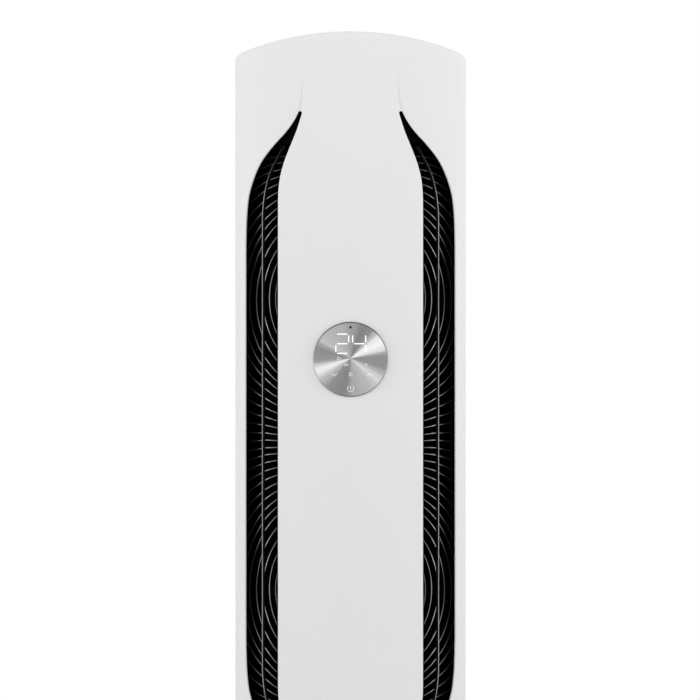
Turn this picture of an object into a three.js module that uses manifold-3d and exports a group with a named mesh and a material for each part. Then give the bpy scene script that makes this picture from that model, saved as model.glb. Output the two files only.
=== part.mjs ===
// Floor-standing tower air conditioner with two vertical air outlets in a curved front.
// Millimetres. +X is the viewer's right, +Y the back, +Z up. The origin is on the floor,
// under the middle of the casing.
import * as THREE from 'three';
import { mergeVertices } from 'three/addons/utils/BufferGeometryUtils.js';
import Module from 'manifold-3d';

const wasm = await Module();
wasm.setup();

// ---------------------------------------------------------------- driving dimensions
const gap = 0.3; // between pieces that touch
const runningGap = 0.5; // round shafts that turn

// Casing
const casingWidth = 366;
const casingDepth = 330;
const casingHeight = 1810;
const wall = 3.2;
const frontRadius = 400; // of the front, seen from above
const frontCornerRadius = 28;
const rearCornerRadius = 70;
const crownRadius = 605; // of the top, seen from the front
const topEdgeRadius = 8;
const seamBehindFront = 185; // where the front and rear covers meet
const proud = 3; // how far the display and the rear grille stand out
const lidRim = 15; // width of the covers' rolled edge round the lid
const lidThickness = 2.2;
const lidSink = 0.4;
const lidLedge = 8;

// Base
const footHeight = 6;
const footRadius = 20;
const footStudRadius = 4;
const footInset = 62; // from the sides and the back
const footBehindEdge = 31; // front feet, behind the front's edge
const basePlate = 8;
const baseReveal = 2;
const baseWallHeight = 26;
const baseWall = 3;

// Air outlets in the front. Places are [distance in from the side, distance under the top].
const outletTip = [109, 119];
const outletOuterEdge = [
  [93, 139.4], [73.1, 163.6], [52.2, 187.7], [37.5, 212], [28, 236.7], [22.5, 261.5], [19, 337],
];
const outletInnerEdge = [[103, 139.7], [94.1, 164.4], [83.7, 189], [75.2, 213.5], [69.3, 270]];
const outletMiddleUnderTop = 641;

// Guard behind each outlet
const guardFrameWidth = 6;
const guardDepth = 14;
const ribHeight = 2.6;
const ribDepth = 8.5;
const ribsPerHalfRing = 14;
const halfRing = 227.8; // half the distance between two ring centres
const ribFadeHeight = 122; // ribs bend fully below this height over their ring's centre
const ribKnee = 24.7; // from the outlet's inner edge
const ribNearPull = [3.6, 48.5]; // up to the knee: factor and added width
const ribFarPull = [8, 21.9]; // beyond the knee
const barWidth = 4;
const barDepth = 4;
const barPath = [[79, 169], [70.5, 183], [59.3, 204], [49.5, 240], [47, 270]];

// Display
const displayUnderTop = 509.4;
const displayRadius = 58.5;
const displaySeatGap = 0.4; // between its back and the front cover's inner face
const displayFace = 2.2;
const displayRim = 2;
const displayBoardInset = 8.5; // from the disc's edge
const boardThickness = 1.6;
const receiverInset = 8.8; // from the disc's edge
const receiverRadius = 2;
const receiverCollar = 2;
const receiverSink = 0.2;
const boardTongue = 8;
const holderOverlap = 5.5; // past the disc's edge
const holderThickness = 2.5;
const holderPostRadius = 4;
const holderPostInset = 12;
const holderCableHole = 14;

// Inner frame
const lowerDeckAboveOutletEnd = 5;
const upperDeckUnderOutletTip = 23;
const deckThickness = 2.5;
const uprightWidth = 11;
const uprightDepth = 30;
const uprightSheet = 2;
const uprightBeforeCorner = 23; // of the rear corner's curve
const uprightAboveDeck = 69.5;
const deckFlangeHeight = 30;
const deckFlangeMargin = 12;
const deckFlangeSheet = 2;

// Fans
const fanFromSide = 91;
const fanBehindMiddle = 5;
const fanRadius = 48;
const fanEndGap = 8;
const fanBlades = 14;
const fanBladeChord = 15;
const fanBladeLean = 5;
const fanBladeInset = 1; // from the discs' edge
const fanBladeThickness = 1.6;
const fanDisc = 3;
const shaftRadius = 5;
const motorRadius = 40;
const motorFlange = 5;
const motorFlangeThickness = 4;
const motorHeight = 58;
const shaftInMotor = 40;
const shaftEndGap = 3;
const bearingRadius = 14;
const bearingHeight = 10;

// Air path
const ductSheet = 2.2;
const scrollStartAngle = 60; // degrees from +X, at the back of the fan
const scrollEndAngle = -40;
const scrollStartGap = 6;
const scrollEndGap = 30;
const stabiliserGap = 6;
const stabiliserRise = 34;
const stabiliserLip = 6;
const stabiliserReturn = 18;
const stabiliserLean = 4;
const stabiliserStep = 16;

// Swing vanes
const vanesFromSide = [65, 35];
const vanesBeforeFan = 89;
const vaneChord = 30;
const vaneThickness = 3;
const vaneAngle = 12; // degrees at rest, turned outwards
const vaneEndGap = 4;
const vanePinRadius = 3;
const vaneArm = 14;
const vaneArmWidth = 8;
const vaneArmThickness = 3;
const crankPinRadius = 2;
const crankPinStand = 2; // above the link
const vanePinSeat = 4; // how deep a pin sits in its vane
const vanePinInMotor = 9.5;
const linkThickness = 3;
const vaneMotorRadius = 14;
const vaneMotorHeight = 19;

// Cooling coil and its pan
const coilFromSide = 33;
const coilBeforeBack = 87;
const coilDepth = 38;
const coilBottomGap = 26;
const coilTopGap = 28;
const finGrooves = 14;
const finGrooveDepth = 3;
const endPlate = 2;
const endPlateOverhang = 4;
const coilEar = 12;
const bendCount = 4;
const bendRadius = 9;
const bendTubeRadius = 3.5;
const panWall = 2;
const drainFromEnd = 30;
const drainRadius = 8;
const drainBore = 5.5;
const drainLength = 50;

// Refrigerant pipes
const gasPipeRadius = 4.8;
const liquidPipeRadius = 3.2;
const pipesFromSide = 22;
const gasPipeBeforeBack = 63;
const liquidPipeBeforeBack = 82;
const pipeTopAboveDeck = 82;
const pipeBend = 9;
const pipeEndUnderDeck = 352;
const flareNutHeight = 18;
const flareNutWall = 4.5;

// Air filters
const filterBeforeBack = 31;
const filterThickness = 8;
const filterBottomGap = 38;
const filterFrame = 8;
const filterPanel = 2;
const filterColumns = 2;
const filterRows = 4;
const railLip = 4;
const railWall = 2;
const railEndGap = 14;
const filterHandleHeight = 90;
const filterHandleDepth = 2;

// Intake grille
const grilleFromSide = 77;
const grilleBottomGap = 50;
const grilleFrame = 8;
const grilleRows = 13;
const grilleColumns = 2;
const grilleSlat = 12;
const grilleDepth = 6;

// Electrics in the lower compartment
const controlBesideVaneMotors = 6;
const controlBeforeMotors = 13;
const controlDepth = 70;
const controlHeight = 250;
const controlWall = 2;
const controlLid = 2;
const boardMargin = 14;
const boardPost = 8;
const capacitorSize = [12, 34]; // radius and height
const heatSinkSize = [54, 26, 60];
const relaySize = [30, 16, 30];
const componentMargin = 30;
const terminalSize = [60, 30, 20];
const terminalSlot = 10;
const glandRadius = 10;
const glandBore = 6;
const glandFlange = 15;
const glandX = 60;
const glandAboveFloor = 90;
const glandLength = 24;

// Pipe opening low in the rear cover
const pipeOpeningX = -60;
const pipeOpeningAboveFloor = 130;
const pipeOpeningRadius = 38;

// Screws
const screwHeadRadius = 4.5;
const screwRadius = 2;
const screwLength = 14;
const screwsFromSide = 83;

// How finely round shapes are cut into flats
const rodFacets = 16;
const pinFacets = 10;
const tubeFacets = 10;
const nutFacets = 6;
const fanFacets = 24;
const discFacets = 36;
const planStations = 9; // per half width
const edgeSteps = 3;
const outletEdgeSteps = 10;
const openRibSteps = 2;
const closedRibSteps = 3;
const barSteps = 6;
const scrollSteps = 10;
const bendSteps = 4;

// ---------------------------------------------------------------- derived places
const radians = (degrees) => (degrees * Math.PI) / 180;
const halfWidth = casingWidth / 2;
const halfDepth = casingDepth / 2;
const front = -halfDepth;
const frontCentreY = front + frontRadius;
const cornerX = halfWidth - frontCornerRadius;
const cornerY = frontCentreY - Math.sqrt((frontRadius - frontCornerRadius) ** 2 - cornerX ** 2);
const cornerAngle = Math.asin(cornerX / (frontRadius - frontCornerRadius));
const past = 1; // how far a cutting shape runs past what it cuts
const coverTop = casingHeight + past;
const plateTop = footHeight + basePlate;
const coverBottom = plateTop + gap;
const insideWall = wall + gap;
const rearInside = halfDepth - insideWall;
const seamY = front + seamBehindFront;

const outletMiddle = casingHeight - outletMiddleUnderTop;
const outletHighest = casingHeight - outletTip[1];
const outletLowest = 2 * outletMiddle - outletHighest;
const lowerDeckTop = outletLowest + lowerDeckAboveOutletEnd;
const lowerDeckBottom = lowerDeckTop - deckThickness;
const upperDeckBottom = outletHighest - upperDeckUnderOutletTip;
const upperDeckTop = upperDeckBottom + deckThickness;
const lidZone = (upperDeckTop + casingHeight) / 2; // the lid's opening is cut above this
const ductBottom = lowerDeckTop + gap;
const ductTop = upperDeckBottom - gap;
const uprightTop = upperDeckTop + uprightAboveDeck;
const uprightBack = halfDepth - rearCornerRadius - uprightBeforeCorner;
const uprightFront = uprightBack - uprightDepth;
const uprightOuter = halfWidth - insideWall - baseWall - gap;

const ringCentres = [outletMiddle + halfRing, outletMiddle - halfRing];
const guardFront = insideWall; // depths behind the front's outer surface
const guardBack = guardFront + guardDepth;
const ribFront = guardBack - ribDepth;
const barBack = ribFront - gap;
const barFront = barBack - barDepth;

const displayHeight = casingHeight - displayUnderTop;
const displayFront = front - proud;
const displayBoardRadius = displayRadius - displayBoardInset;
const holderRadius = displayRadius + holderOverlap;
const receiverHeight = displayHeight + displayRadius - receiverInset;

const fanX = halfWidth - fanFromSide;
const fanY = fanBehindMiddle;
const vaneX = vanesFromSide.map((distance) => halfWidth - distance);
const vaneY = fanY - vanesBeforeFan;
const coilHalfWidth = halfWidth - coilFromSide;
const coilFront = halfDepth - coilBeforeBack;
const coilBack = coilFront + coilDepth;
const coilMiddleY = coilFront + coilDepth / 2;
const coilBottom = lowerDeckTop + coilBottomGap;
const coilTop = upperDeckBottom - coilTopGap;
const drainX = coilHalfWidth - drainFromEnd;
const pipeX = halfWidth - pipesFromSide;
const gasPipeY = halfDepth - gasPipeBeforeBack;
const liquidPipeY = halfDepth - liquidPipeBeforeBack;
const pipeEnd = lowerDeckTop - pipeEndUnderDeck;
const filterFront = halfDepth - filterBeforeBack;
const filterBack = filterFront + filterThickness;
const filterBottom = lowerDeckTop + filterBottomGap;
const filterTop = upperDeckBottom - filterBottomGap;
const grilleHalfWidth = halfWidth - grilleFromSide;
const grilleBottom = lowerDeckTop + grilleBottomGap;
const grilleTop = upperDeckBottom - grilleBottomGap;
const controlHalfWidth = vaneX[0] - vaneMotorRadius - controlBesideVaneMotors;
const controlBack = fanY - motorRadius - controlBeforeMotors;
const controlFront = controlBack - controlDepth;
const controlTop = lowerDeckBottom - gap;
const controlBottom = controlTop - controlHeight;
const screwX = halfWidth - screwsFromSide;
const sides = { left: -1, right: 1 };

// ---------------------------------------------------------------- materials
const material = (color, roughness, metalness = 0) =>
  new THREE.MeshStandardMaterial({ color, roughness, metalness });
const white = material(0xe9e9e8, 0.35);
const blackPlastic = material(0x101011, 0.35);
const darkPlastic = material(0x2a2b2d, 0.6);
const greyPlastic = material(0x9a9c9e, 0.6);
const rubber = material(0x1c1c1c, 0.9);
const spunMetal = material(0xc9cacb, 0.3, 1);
const sheetSteel = material(0xb4b7b9, 0.45, 1);
const aluminium = material(0xcfd2d4, 0.4, 1);
const copper = material(0xc0764a, 0.35, 1);
const brass = material(0xc8a35a, 0.35, 1);
const circuitGreen = material(0x1f5b3a, 0.5);
const smokedLens = material(0x1a1416, 0.15);

// ---------------------------------------------------------------- solids
function toSolid(geometry) {
  const bare = geometry.index ? geometry.clone() : geometry;
  bare.deleteAttribute('normal');
  bare.deleteAttribute('uv');
  const merged = mergeVertices(bare, 1e-4);
  const mesh = new wasm.Mesh({
    numProp: 3,
    vertProperties: new Float32Array(merged.attributes.position.array),
    triVerts: new Uint32Array(merged.index.array),
  });
  return new wasm.Manifold(mesh);
}

function toGeometry(solid) {
  const mesh = solid.getMesh();
  const geometry = new THREE.BufferGeometry();
  geometry.setAttribute('position', new THREE.BufferAttribute(new Float32Array(mesh.vertProperties), 3));
  geometry.setIndex(new THREE.BufferAttribute(new Uint32Array(mesh.triVerts), 1));
  return geometry;
}

const joined = (first, ...others) => others.reduce((sum, other) => sum.add(other), first);
const cut = (first, ...others) => others.reduce((rest, other) => rest.subtract(other), first);

function block(x0, x1, y0, y1, z0, z1) {
  const geometry = new THREE.BoxGeometry(x1 - x0, y1 - y0, z1 - z0);
  geometry.translate((x0 + x1) / 2, (y0 + y1) / 2, (z0 + z1) / 2);
  return toSolid(geometry);
}

// A round rod along Z.
function rod(radius, x, y, z0, z1, facets = rodFacets) {
  const geometry = new THREE.CylinderGeometry(radius, radius, z1 - z0, facets);
  geometry.rotateX(Math.PI / 2);
  geometry.translate(x, y, (z0 + z1) / 2);
  return toSolid(geometry);
}

// A round rod along Y.
function rodAlongY(radius, x, z, y0, y1, facets = rodFacets) {
  const geometry = new THREE.CylinderGeometry(radius, radius, y1 - y0, facets);
  geometry.translate(x, (y0 + y1) / 2, z);
  return toSolid(geometry);
}

function shapeFrom(points) {
  return new THREE.Shape(points.map(([a, b]) => new THREE.Vector2(a, b)));
}

// A prism with its outline in plan, standing along Z.
function planPrism(points, z0, z1) {
  const geometry = new THREE.ExtrudeGeometry(shapeFrom(points), { depth: z1 - z0, bevelEnabled: false });
  geometry.translate(0, 0, z0);
  return toSolid(geometry);
}

// A prism with its outline in the X-Z plane, running along Y.
function frontPrism(points, y0, y1) {
  const geometry = new THREE.ExtrudeGeometry(shapeFrom(points), { depth: y1 - y0, bevelEnabled: false });
  geometry.rotateX(Math.PI / 2);
  geometry.translate(0, y1, 0);
  return toSolid(geometry);
}

const mirrored = (points, side) => (side > 0 ? points : points.map(([x, y]) => [-x, y]).reverse());

// ---------------------------------------------------------------- the casing's form
function frontY(x, inset = 0) {
  const arc = frontRadius - inset;
  if (Math.abs(x) <= arc * Math.sin(cornerAngle)) {
    return frontCentreY - Math.sqrt(arc ** 2 - x ** 2);
  }
  const along = Math.min(Math.abs(x) - cornerX, frontCornerRadius - inset);
  return cornerY - Math.sqrt((frontCornerRadius - inset) ** 2 - along ** 2);
}

function rearY(x, inset = 0) {
  const along = Math.abs(x) - (halfWidth - rearCornerRadius);
  if (along <= 0) return halfDepth - inset;
  const radius = rearCornerRadius - inset;
  return halfDepth - rearCornerRadius + Math.sqrt(radius ** 2 - Math.min(along, radius) ** 2);
}

// The front's arc, moved back by a depth.
const arcY = (x, depth) => frontCentreY - Math.sqrt((frontRadius - depth) ** 2 - x ** 2);

const guardBackY = (x) => arcY(x, guardBack + gap);
const crownZ = (x) => casingHeight - crownRadius + Math.sqrt(crownRadius ** 2 - x ** 2);

// X places across the casing, close together near the corners.
function stations(inset) {
  const places = [];
  for (let k = -planStations; k <= planStations; k += 1) {
    places.push(Math.sin(((k / planStations) * Math.PI) / 2) * (halfWidth - inset));
  }
  return places;
}

// The casing's plan outline, moved in by an inset.
function planOutline(inset) {
  const across = stations(inset);
  const front = across.map((x) => [x, frontY(x, inset)]);
  const rear = across.map((x) => [x, rearY(x, inset)]).reverse();
  return [...front, ...rear];
}

// The casing as one closed solid with a rounded, crowned top.
function towerForm(inset, bottom, topDrop) {
  const rings = [planOutline(inset).map(([x, y]) => [x, y, bottom])];
  for (let step = 0; step <= edgeSteps; step += 1) {
    const angle = radians((90 * step) / edgeSteps);
    const rollIn = topEdgeRadius * (1 - Math.cos(angle));
    const rollDown = topEdgeRadius * (1 - Math.sin(angle));
    const ring = planOutline(inset + rollIn);
    rings.push(ring.map(([x, y]) => [x, y, crownZ(x) - topDrop - rollDown]));
  }
  const count = rings[0].length;
  const faces = [];
  for (let ring = 0; ring + 1 < rings.length; ring += 1) {
    for (let i = 0; i < count; i += 1) {
      const a = ring * count + i;
      const b = ring * count + ((i + 1) % count);
      faces.push(a, b, b + count, a, b + count, a + count);
    }
  }
  const top = (rings.length - 1) * count;
  for (let i = 0; i + 1 < count / 2; i += 1) {
    const rear = count - 1 - i;
    faces.push(i, rear, rear - 1, i, rear - 1, i + 1);
    faces.push(top + i, top + rear - 1, top + rear, top + i, top + i + 1, top + rear - 1);
  }
  const geometry = new THREE.BufferGeometry();
  geometry.setAttribute('position', new THREE.Float32BufferAttribute(rings.flat(2), 3));
  geometry.setIndex(faces);
  return toSolid(geometry);
}

// A slab that follows the crown, between two depths under it.
function crownSlab(upper, lower) {
  const across = stations(0);
  const top = across.map((x) => [x, crownZ(x) - upper]).reverse();
  const bottom = across.map((x) => [x, crownZ(x) - lower]);
  return frontPrism([...bottom, ...top], -halfDepth, halfDepth);
}

// A curved slab behind the front, between two depths behind its outer surface. It stops short
// of the casing's sides, where its two faces would meet.
function frontSlab(near, far, bottom, top) {
  const across = stations(near).slice(1, -1);
  const front = across.map((x) => [x, frontY(x, near)]);
  const back = across.map((x) => [x, arcY(x, far)]).reverse();
  return planPrism([...front, ...back], bottom, top);
}

// ---------------------------------------------------------------- outlet outline
const toVectors = (points) => points.map(([x, z]) => new THREE.Vector2(x, z));
const fromSideAndTop = ([inwards, under]) => [halfWidth - inwards, casingHeight - under];
const overMiddle = ([x, z]) => [x, 2 * outletMiddle - z];

function outletHalf(edge) {
  const curve = new THREE.SplineCurve(toVectors([outletTip, ...edge].map(fromSideAndTop)));
  return curve.getPoints(outletEdgeSteps).map((point) => [point.x, point.y]);
}

const outerHalf = outletHalf(outletOuterEdge);
const innerHalf = outletHalf(outletInnerEdge);

// Anticlockwise, seen from the front, for the right outlet.
function outletOutline() {
  const outerDown = [...outerHalf, ...outerHalf.map(overMiddle).reverse()];
  const innerUp = [...innerHalf.map(overMiddle), ...[...innerHalf].reverse()];
  return [...outerDown, ...innerUp.slice(1, -1)].reverse();
}

function grown(outline, distance) {
  return outline.map(([x, z], i) => {
    const [px, pz] = outline[(i + outline.length - 1) % outline.length];
    const [nx, nz] = outline[(i + 1) % outline.length];
    const length = Math.hypot(nx - px, nz - pz);
    return [x + ((nz - pz) / length) * distance, z - ((nx - px) / length) * distance];
  });
}

function edgeX(half, z) {
  const height = Math.abs(z - outletMiddle) + outletMiddle;
  const below = half.findIndex(([, pointZ]) => pointZ <= height);
  if (below < 0) return half[half.length - 1][0];
  if (below === 0) return half[0][0];
  const [x0, z0] = half[below - 1];
  const [x1, z1] = half[below];
  return x0 + ((z0 - height) / (z0 - z1)) * (x1 - x0);
}

// ---------------------------------------------------------------- covers
const allHeight = [-past, coverTop];
const lidOpening = planPrism(planOutline(lidRim), lidZone, coverTop);
const ledgeTop = lidSink + lidThickness + gap;
const ledge = cut(
  planPrism(planOutline(lidRim - wall), lidZone, coverTop),
  planPrism(planOutline(lidRim + lidLedge), lidZone - past, coverTop + past),
).intersect(crownSlab(ledgeTop, ledgeTop + wall));
const shell = joined(
  cut(towerForm(0, coverBottom, 0), towerForm(wall, coverBottom - past, wall), lidOpening),
  ledge,
);

function frontCover() {
  const outline = outletOutline();
  const openings = Object.values(sides).map((side) =>
    frontPrism(mirrored(outline, side), front - past, frontY(halfWidth) + wall));
  const displayHole = rodAlongY(
    displayRadius + gap, 0, displayHeight, front - past, displayBack + past, discFacets,
  );
  const behind = block(-halfWidth - past, halfWidth + past, seamY - gap / 2, halfDepth + past, ...allHeight);
  return cut(shell, behind, displayHole, ...openings);
}

function rearCover() {
  const before = block(-halfWidth - past, halfWidth + past, front - past, seamY + gap / 2, ...allHeight);
  const window = block(
    -grilleHalfWidth - gap, grilleHalfWidth + gap, halfDepth - wall - past, halfDepth + past,
    grilleBottom - gap, grilleTop + gap,
  );
  const filterSlots = block(
    -halfWidth - past, halfWidth + past, filterFront - gap, filterBack + gap,
    filterBottom - gap, filterTop + gap,
  );
  const through = [rearInside - past, halfDepth + past];
  const pipeOpening = rodAlongY(pipeOpeningRadius, pipeOpeningX, pipeOpeningAboveFloor, ...through);
  const glandHole = rodAlongY(glandRadius + gap, glandX, glandAboveFloor, ...through);
  const screwHoles = screwPlaces().map(({ x, z }) =>
    rodAlongY(screwRadius + gap, x, z, ...through, pinFacets));
  return cut(shell, before, window, filterSlots, pipeOpening, glandHole, ...screwHoles);
}

function topCover() {
  return crownSlab(lidSink, lidSink + lidThickness)
    .intersect(planPrism(planOutline(lidRim + gap), lidZone, coverTop));
}

// ---------------------------------------------------------------- base and feet
const footX = halfWidth - footInset;
const frontFootY = frontY(footX) + footBehindEdge;
const rearFootY = halfDepth - footInset;
const footPlaces = {
  front_left: [-1, frontFootY],
  front_right: [1, frontFootY],
  rear_left: [-1, rearFootY],
  rear_right: [1, rearFootY],
};

function baseTray() {
  const plate = planPrism(planOutline(baseReveal), footHeight, plateTop);
  const upstand = cut(
    planPrism(planOutline(insideWall), plateTop - past, plateTop + baseWallHeight),
    planPrism(planOutline(insideWall + baseWall), plateTop - 2 * past, plateTop + baseWallHeight + past),
  );
  const studHoles = Object.values(footPlaces).map(([side, y]) =>
    rod(footStudRadius + gap, side * footX, y, footHeight - past, plateTop + past, pinFacets));
  const through = [rearInside - baseWall - past, halfDepth];
  const screwHoles = screwPlaces()
    .filter(({ z }) => z < lowerDeckTop)
    .map(({ x, z }) => rodAlongY(screwRadius + gap, x, z, ...through, pinFacets));
  return cut(joined(plate, upstand), ...studHoles, ...screwHoles);
}

function foot([side, y]) {
  const x = side * footX;
  return joined(
    rod(footRadius, x, y, 0, footHeight - gap),
    rod(footStudRadius, x, y, footHeight - past, plateTop, pinFacets),
  );
}

// ---------------------------------------------------------------- inner frame
const uprightInner = uprightOuter - uprightWidth;

function upright(side) {
  const web = uprightOuter - uprightSheet;
  const outline = [
    [uprightInner, uprightFront], [uprightOuter, uprightFront],
    [uprightOuter, uprightBack], [web, uprightBack],
    [web, uprightFront + uprightSheet], [uprightInner, uprightFront + uprightSheet],
  ];
  return planPrism(mirrored(outline, side), plateTop + gap, uprightTop);
}

// The room that an upright needs in the decks.
function uprightNotch(side) {
  const notch = [
    [uprightInner - gap, uprightFront - gap], [halfWidth, uprightFront - gap],
    [halfWidth, uprightBack + gap], [uprightInner - gap, uprightBack + gap],
  ];
  return planPrism(mirrored(notch, side), lowerDeckBottom - past, upperDeckTop + past);
}

// The room that the outlet guards' pointed ends need in a deck.
function guardNotch(side, deckHeight) {
  const outline = mirrored(grown(outletOutline(), guardFrameWidth + gap), side);
  const widest = edgeX(outerHalf, deckHeight) + 2 * guardFrameWidth;
  return frontPrism(outline, front, guardBackY(widest));
}

function lowerDeck() {
  const plate = planPrism(planOutline(insideWall), lowerDeckBottom, lowerDeckTop);
  const z = [lowerDeckBottom - past, lowerDeckTop + past];
  const holes = Object.values(sides).flatMap((side) => [
    uprightNotch(side),
    guardNotch(side, lowerDeckTop),
    rod(shaftRadius + runningGap, side * fanX, fanY, ...z),
    ...vaneX.map((x) => rod(vanePinRadius + gap, side * x, vaneY, ...z, pinFacets)),
  ]);
  const pipes = [
    rod(gasPipeRadius + gap, pipeX, gasPipeY, ...z, pinFacets),
    rod(liquidPipeRadius + gap, pipeX, liquidPipeY, ...z, pinFacets),
    rod(drainRadius + gap, drainX, coilMiddleY, ...z),
  ];
  return cut(plate, ...holes, ...pipes);
}

function upperDeck() {
  const plate = planPrism(planOutline(insideWall), upperDeckBottom, upperDeckTop);
  const flangeX = screwX + deckFlangeMargin;
  const flangeZ = [upperDeckTop - past, upperDeckTop + deckFlangeHeight];
  const flange = block(-flangeX, flangeX, rearInside - deckFlangeSheet, rearInside, ...flangeZ)
    .intersect(planPrism(planOutline(insideWall), ...flangeZ));
  const z = [upperDeckBottom - past, upperDeckTop + past];
  const holes = Object.values(sides).flatMap((side) => [
    uprightNotch(side),
    guardNotch(side, upperDeckBottom),
    ...vaneX.map((x) => rod(vanePinRadius + gap, side * x, vaneY, ...z, pinFacets)),
  ]);
  const through = [rearInside - deckFlangeSheet - past, halfDepth];
  const screwHoles = screwPlaces()
    .filter(({ z: height }) => height > lowerDeckTop)
    .map((spot) => rodAlongY(screwRadius + gap, spot.x, spot.z, ...through, pinFacets));
  return cut(joined(plate, flange), ...holes, ...screwHoles);
}

// ---------------------------------------------------------------- outlet guards
// Height of each rib above its ring's centre, at the outlet's inner edge. The three sines
// spread the ribs as they are spread on the machine.
function ribHeightAtEdge(number) {
  const t = number / (ribsPerHalfRing + 0.5);
  const spread = 0.151 * Math.sin(Math.PI * t) + 0.035 * Math.sin(2 * Math.PI * t)
    + 0.015 * Math.sin(3 * Math.PI * t);
  return halfRing * (t + spread);
}

// How far a rib bends back to its ring's centre, as a difference of squares. It bends in two
// stretches, and the ribs far from the centre bend less.
function ribPull(across, heightAtEdge) {
  const share = THREE.MathUtils.clamp((halfRing - heightAtEdge) / (halfRing - ribFadeHeight), 0, 1);
  const near = Math.min(across, ribKnee);
  const far = Math.max(across - ribKnee, 0);
  const [nearPull, nearWidth] = ribNearPull;
  const [farPull, farWidth] = ribFarPull;
  return share * (nearPull * near * (near + nearWidth) + farPull * far * (far + farWidth));
}

// Points of one rib above the ring's centre: [distance from the inner edge, height].
function ribPoints(heightAtEdge, reach, steps) {
  const points = [];
  for (let step = 0; step <= steps; step += 1) {
    const across = (reach * step) / steps;
    const square = heightAtEdge ** 2 - ribPull(across, heightAtEdge);
    if (square <= 0) break;
    points.push([across, Math.sqrt(square)]);
  }
  return points;
}

function closingReach(heightAtEdge, reach) {
  let low = 0;
  let high = reach;
  for (let step = 0; step < 24; step += 1) {
    const middle = (low + high) / 2;
    if (ribPull(middle, heightAtEdge) < heightAtEdge ** 2) low = middle;
    else high = middle;
  }
  return low;
}

// A bar of rectangular section through points in the X-Z plane, set behind the front's surface.
function frontBar(points, height, near, far) {
  const vertices = [];
  points.forEach(([x, z], i) => {
    const [px, pz] = points[Math.max(i - 1, 0)];
    const [nx, nz] = points[Math.min(i + 1, points.length - 1)];
    const length = Math.hypot(nx - px, nz - pz);
    const sideX = (-(nz - pz) / length) * (height / 2);
    const sideZ = ((nx - px) / length) * (height / 2);
    const below = [x - sideX, z - sideZ];
    const above = [x + sideX, z + sideZ];
    for (const [[edgeAtX, edgeAtZ], depth] of [[below, near], [above, near], [above, far], [below, far]]) {
      vertices.push(edgeAtX, arcY(edgeAtX, depth), edgeAtZ);
    }
  });
  const faces = [0, 2, 3, 0, 1, 2];
  for (let i = 0; i + 1 < points.length; i += 1) {
    for (let corner = 0; corner < 4; corner += 1) {
      const a = i * 4 + corner;
      const b = i * 4 + ((corner + 1) % 4);
      faces.push(a, b + 4, b, a, a + 4, b + 4);
    }
  }
  const last = (points.length - 1) * 4;
  faces.push(last, last + 2, last + 1, last, last + 3, last + 2);
  const geometry = new THREE.BufferGeometry();
  geometry.setAttribute('position', new THREE.Float32BufferAttribute(vertices, 3));
  geometry.setIndex(faces);
  return toSolid(geometry);
}

function ribPaths() {
  const paths = [];
  for (const centre of ringCentres) {
    for (let number = 1; number <= ribsPerHalfRing; number += 1) {
      const height = ribHeightAtEdge(number);
      const full = edgeX(outerHalf, centre) - edgeX(innerHalf, centre) + guardFrameWidth;
      const closes = closingReach(height, full);
      if (closes < full - guardFrameWidth) {
        const upper = ribPoints(height, closes, closedRibSteps);
        const start = edgeX(innerHalf, centre);
        const rise = upper.map(([across, up]) => [start + across, centre + up]);
        const fall = upper.map(([across, up]) => [start + across, centre - up]).reverse();
        const inset = [[start - guardFrameWidth / 2, centre + height]];
        paths.push([...inset, ...rise, [start + closes, centre], ...fall, [inset[0][0], centre - height]]);
      } else {
        for (const way of [1, -1]) {
          const start = edgeX(innerHalf, centre + way * height);
          const width = edgeX(outerHalf, centre + way * height) - start;
          const points = ribPoints(height, width + guardFrameWidth / 2, openRibSteps);
          const path = points.map(([across, up]) => [start + across, centre + way * up]);
          paths.push([[start - guardFrameWidth / 2, centre + way * height], ...path]);
        }
      }
    }
  }
  return paths;
}

function ventGuard(side) {
  const outline = outletOutline();
  const deepest = arcY(halfWidth, guardBack);
  const frame = cut(
    frontPrism(mirrored(grown(outline, guardFrameWidth), side), front, deepest),
    frontPrism(mirrored(grown(outline, gap), side), front - past, deepest + past),
  ).intersect(frontSlab(guardFront, guardBack, lowerDeckBottom, coverTop));
  const ribs = ribPaths().map((path) => frontBar(mirrored(path, side), ribHeight, ribFront, guardBack));
  return joined(frame, ...ribs);
}

function ventBar(side) {
  const curve = new THREE.SplineCurve(toVectors(barPath.map(fromSideAndTop)));
  const upper = curve.getPoints(barSteps).map((point) => [point.x, point.y]);
  const path = [...upper, ...upper.map(overMiddle).reverse()];
  return frontBar(mirrored(path, side), barWidth, barFront, barBack);
}

// ---------------------------------------------------------------- display
const displayBack = arcY(holderRadius, wall) + displaySeatGap;
const displayInside = displayFront + displayFace;
const displayBoardFront = displayInside + receiverCollar + gap;
const displayBoardBack = displayBoardFront + boardThickness;

function displayDisc() {
  const cup = cut(
    rodAlongY(displayRadius, 0, displayHeight, displayFront, displayBack, discFacets),
    rodAlongY(displayRadius - displayRim, 0, displayHeight, displayInside, displayBack + past, discFacets),
  );
  const through = [displayFront - past, displayInside + past];
  return cut(cup, rodAlongY(receiverRadius + gap, 0, receiverHeight, ...through, pinFacets));
}

function receiverLens() {
  const seat = displayInside + gap;
  return joined(
    rodAlongY(receiverRadius, 0, receiverHeight, displayFront + receiverSink, seat, pinFacets),
    rodAlongY(receiverRadius * 2, 0, receiverHeight, seat, displayInside + receiverCollar, pinFacets),
  );
}

function displayBoard() {
  const y = [displayBoardFront, displayBoardBack];
  const half = boardTongue / 2;
  return joined(
    rodAlongY(displayBoardRadius, 0, displayHeight, ...y, fanFacets),
    block(-half, half, ...y, displayHeight, receiverHeight + half),
  );
}

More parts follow.
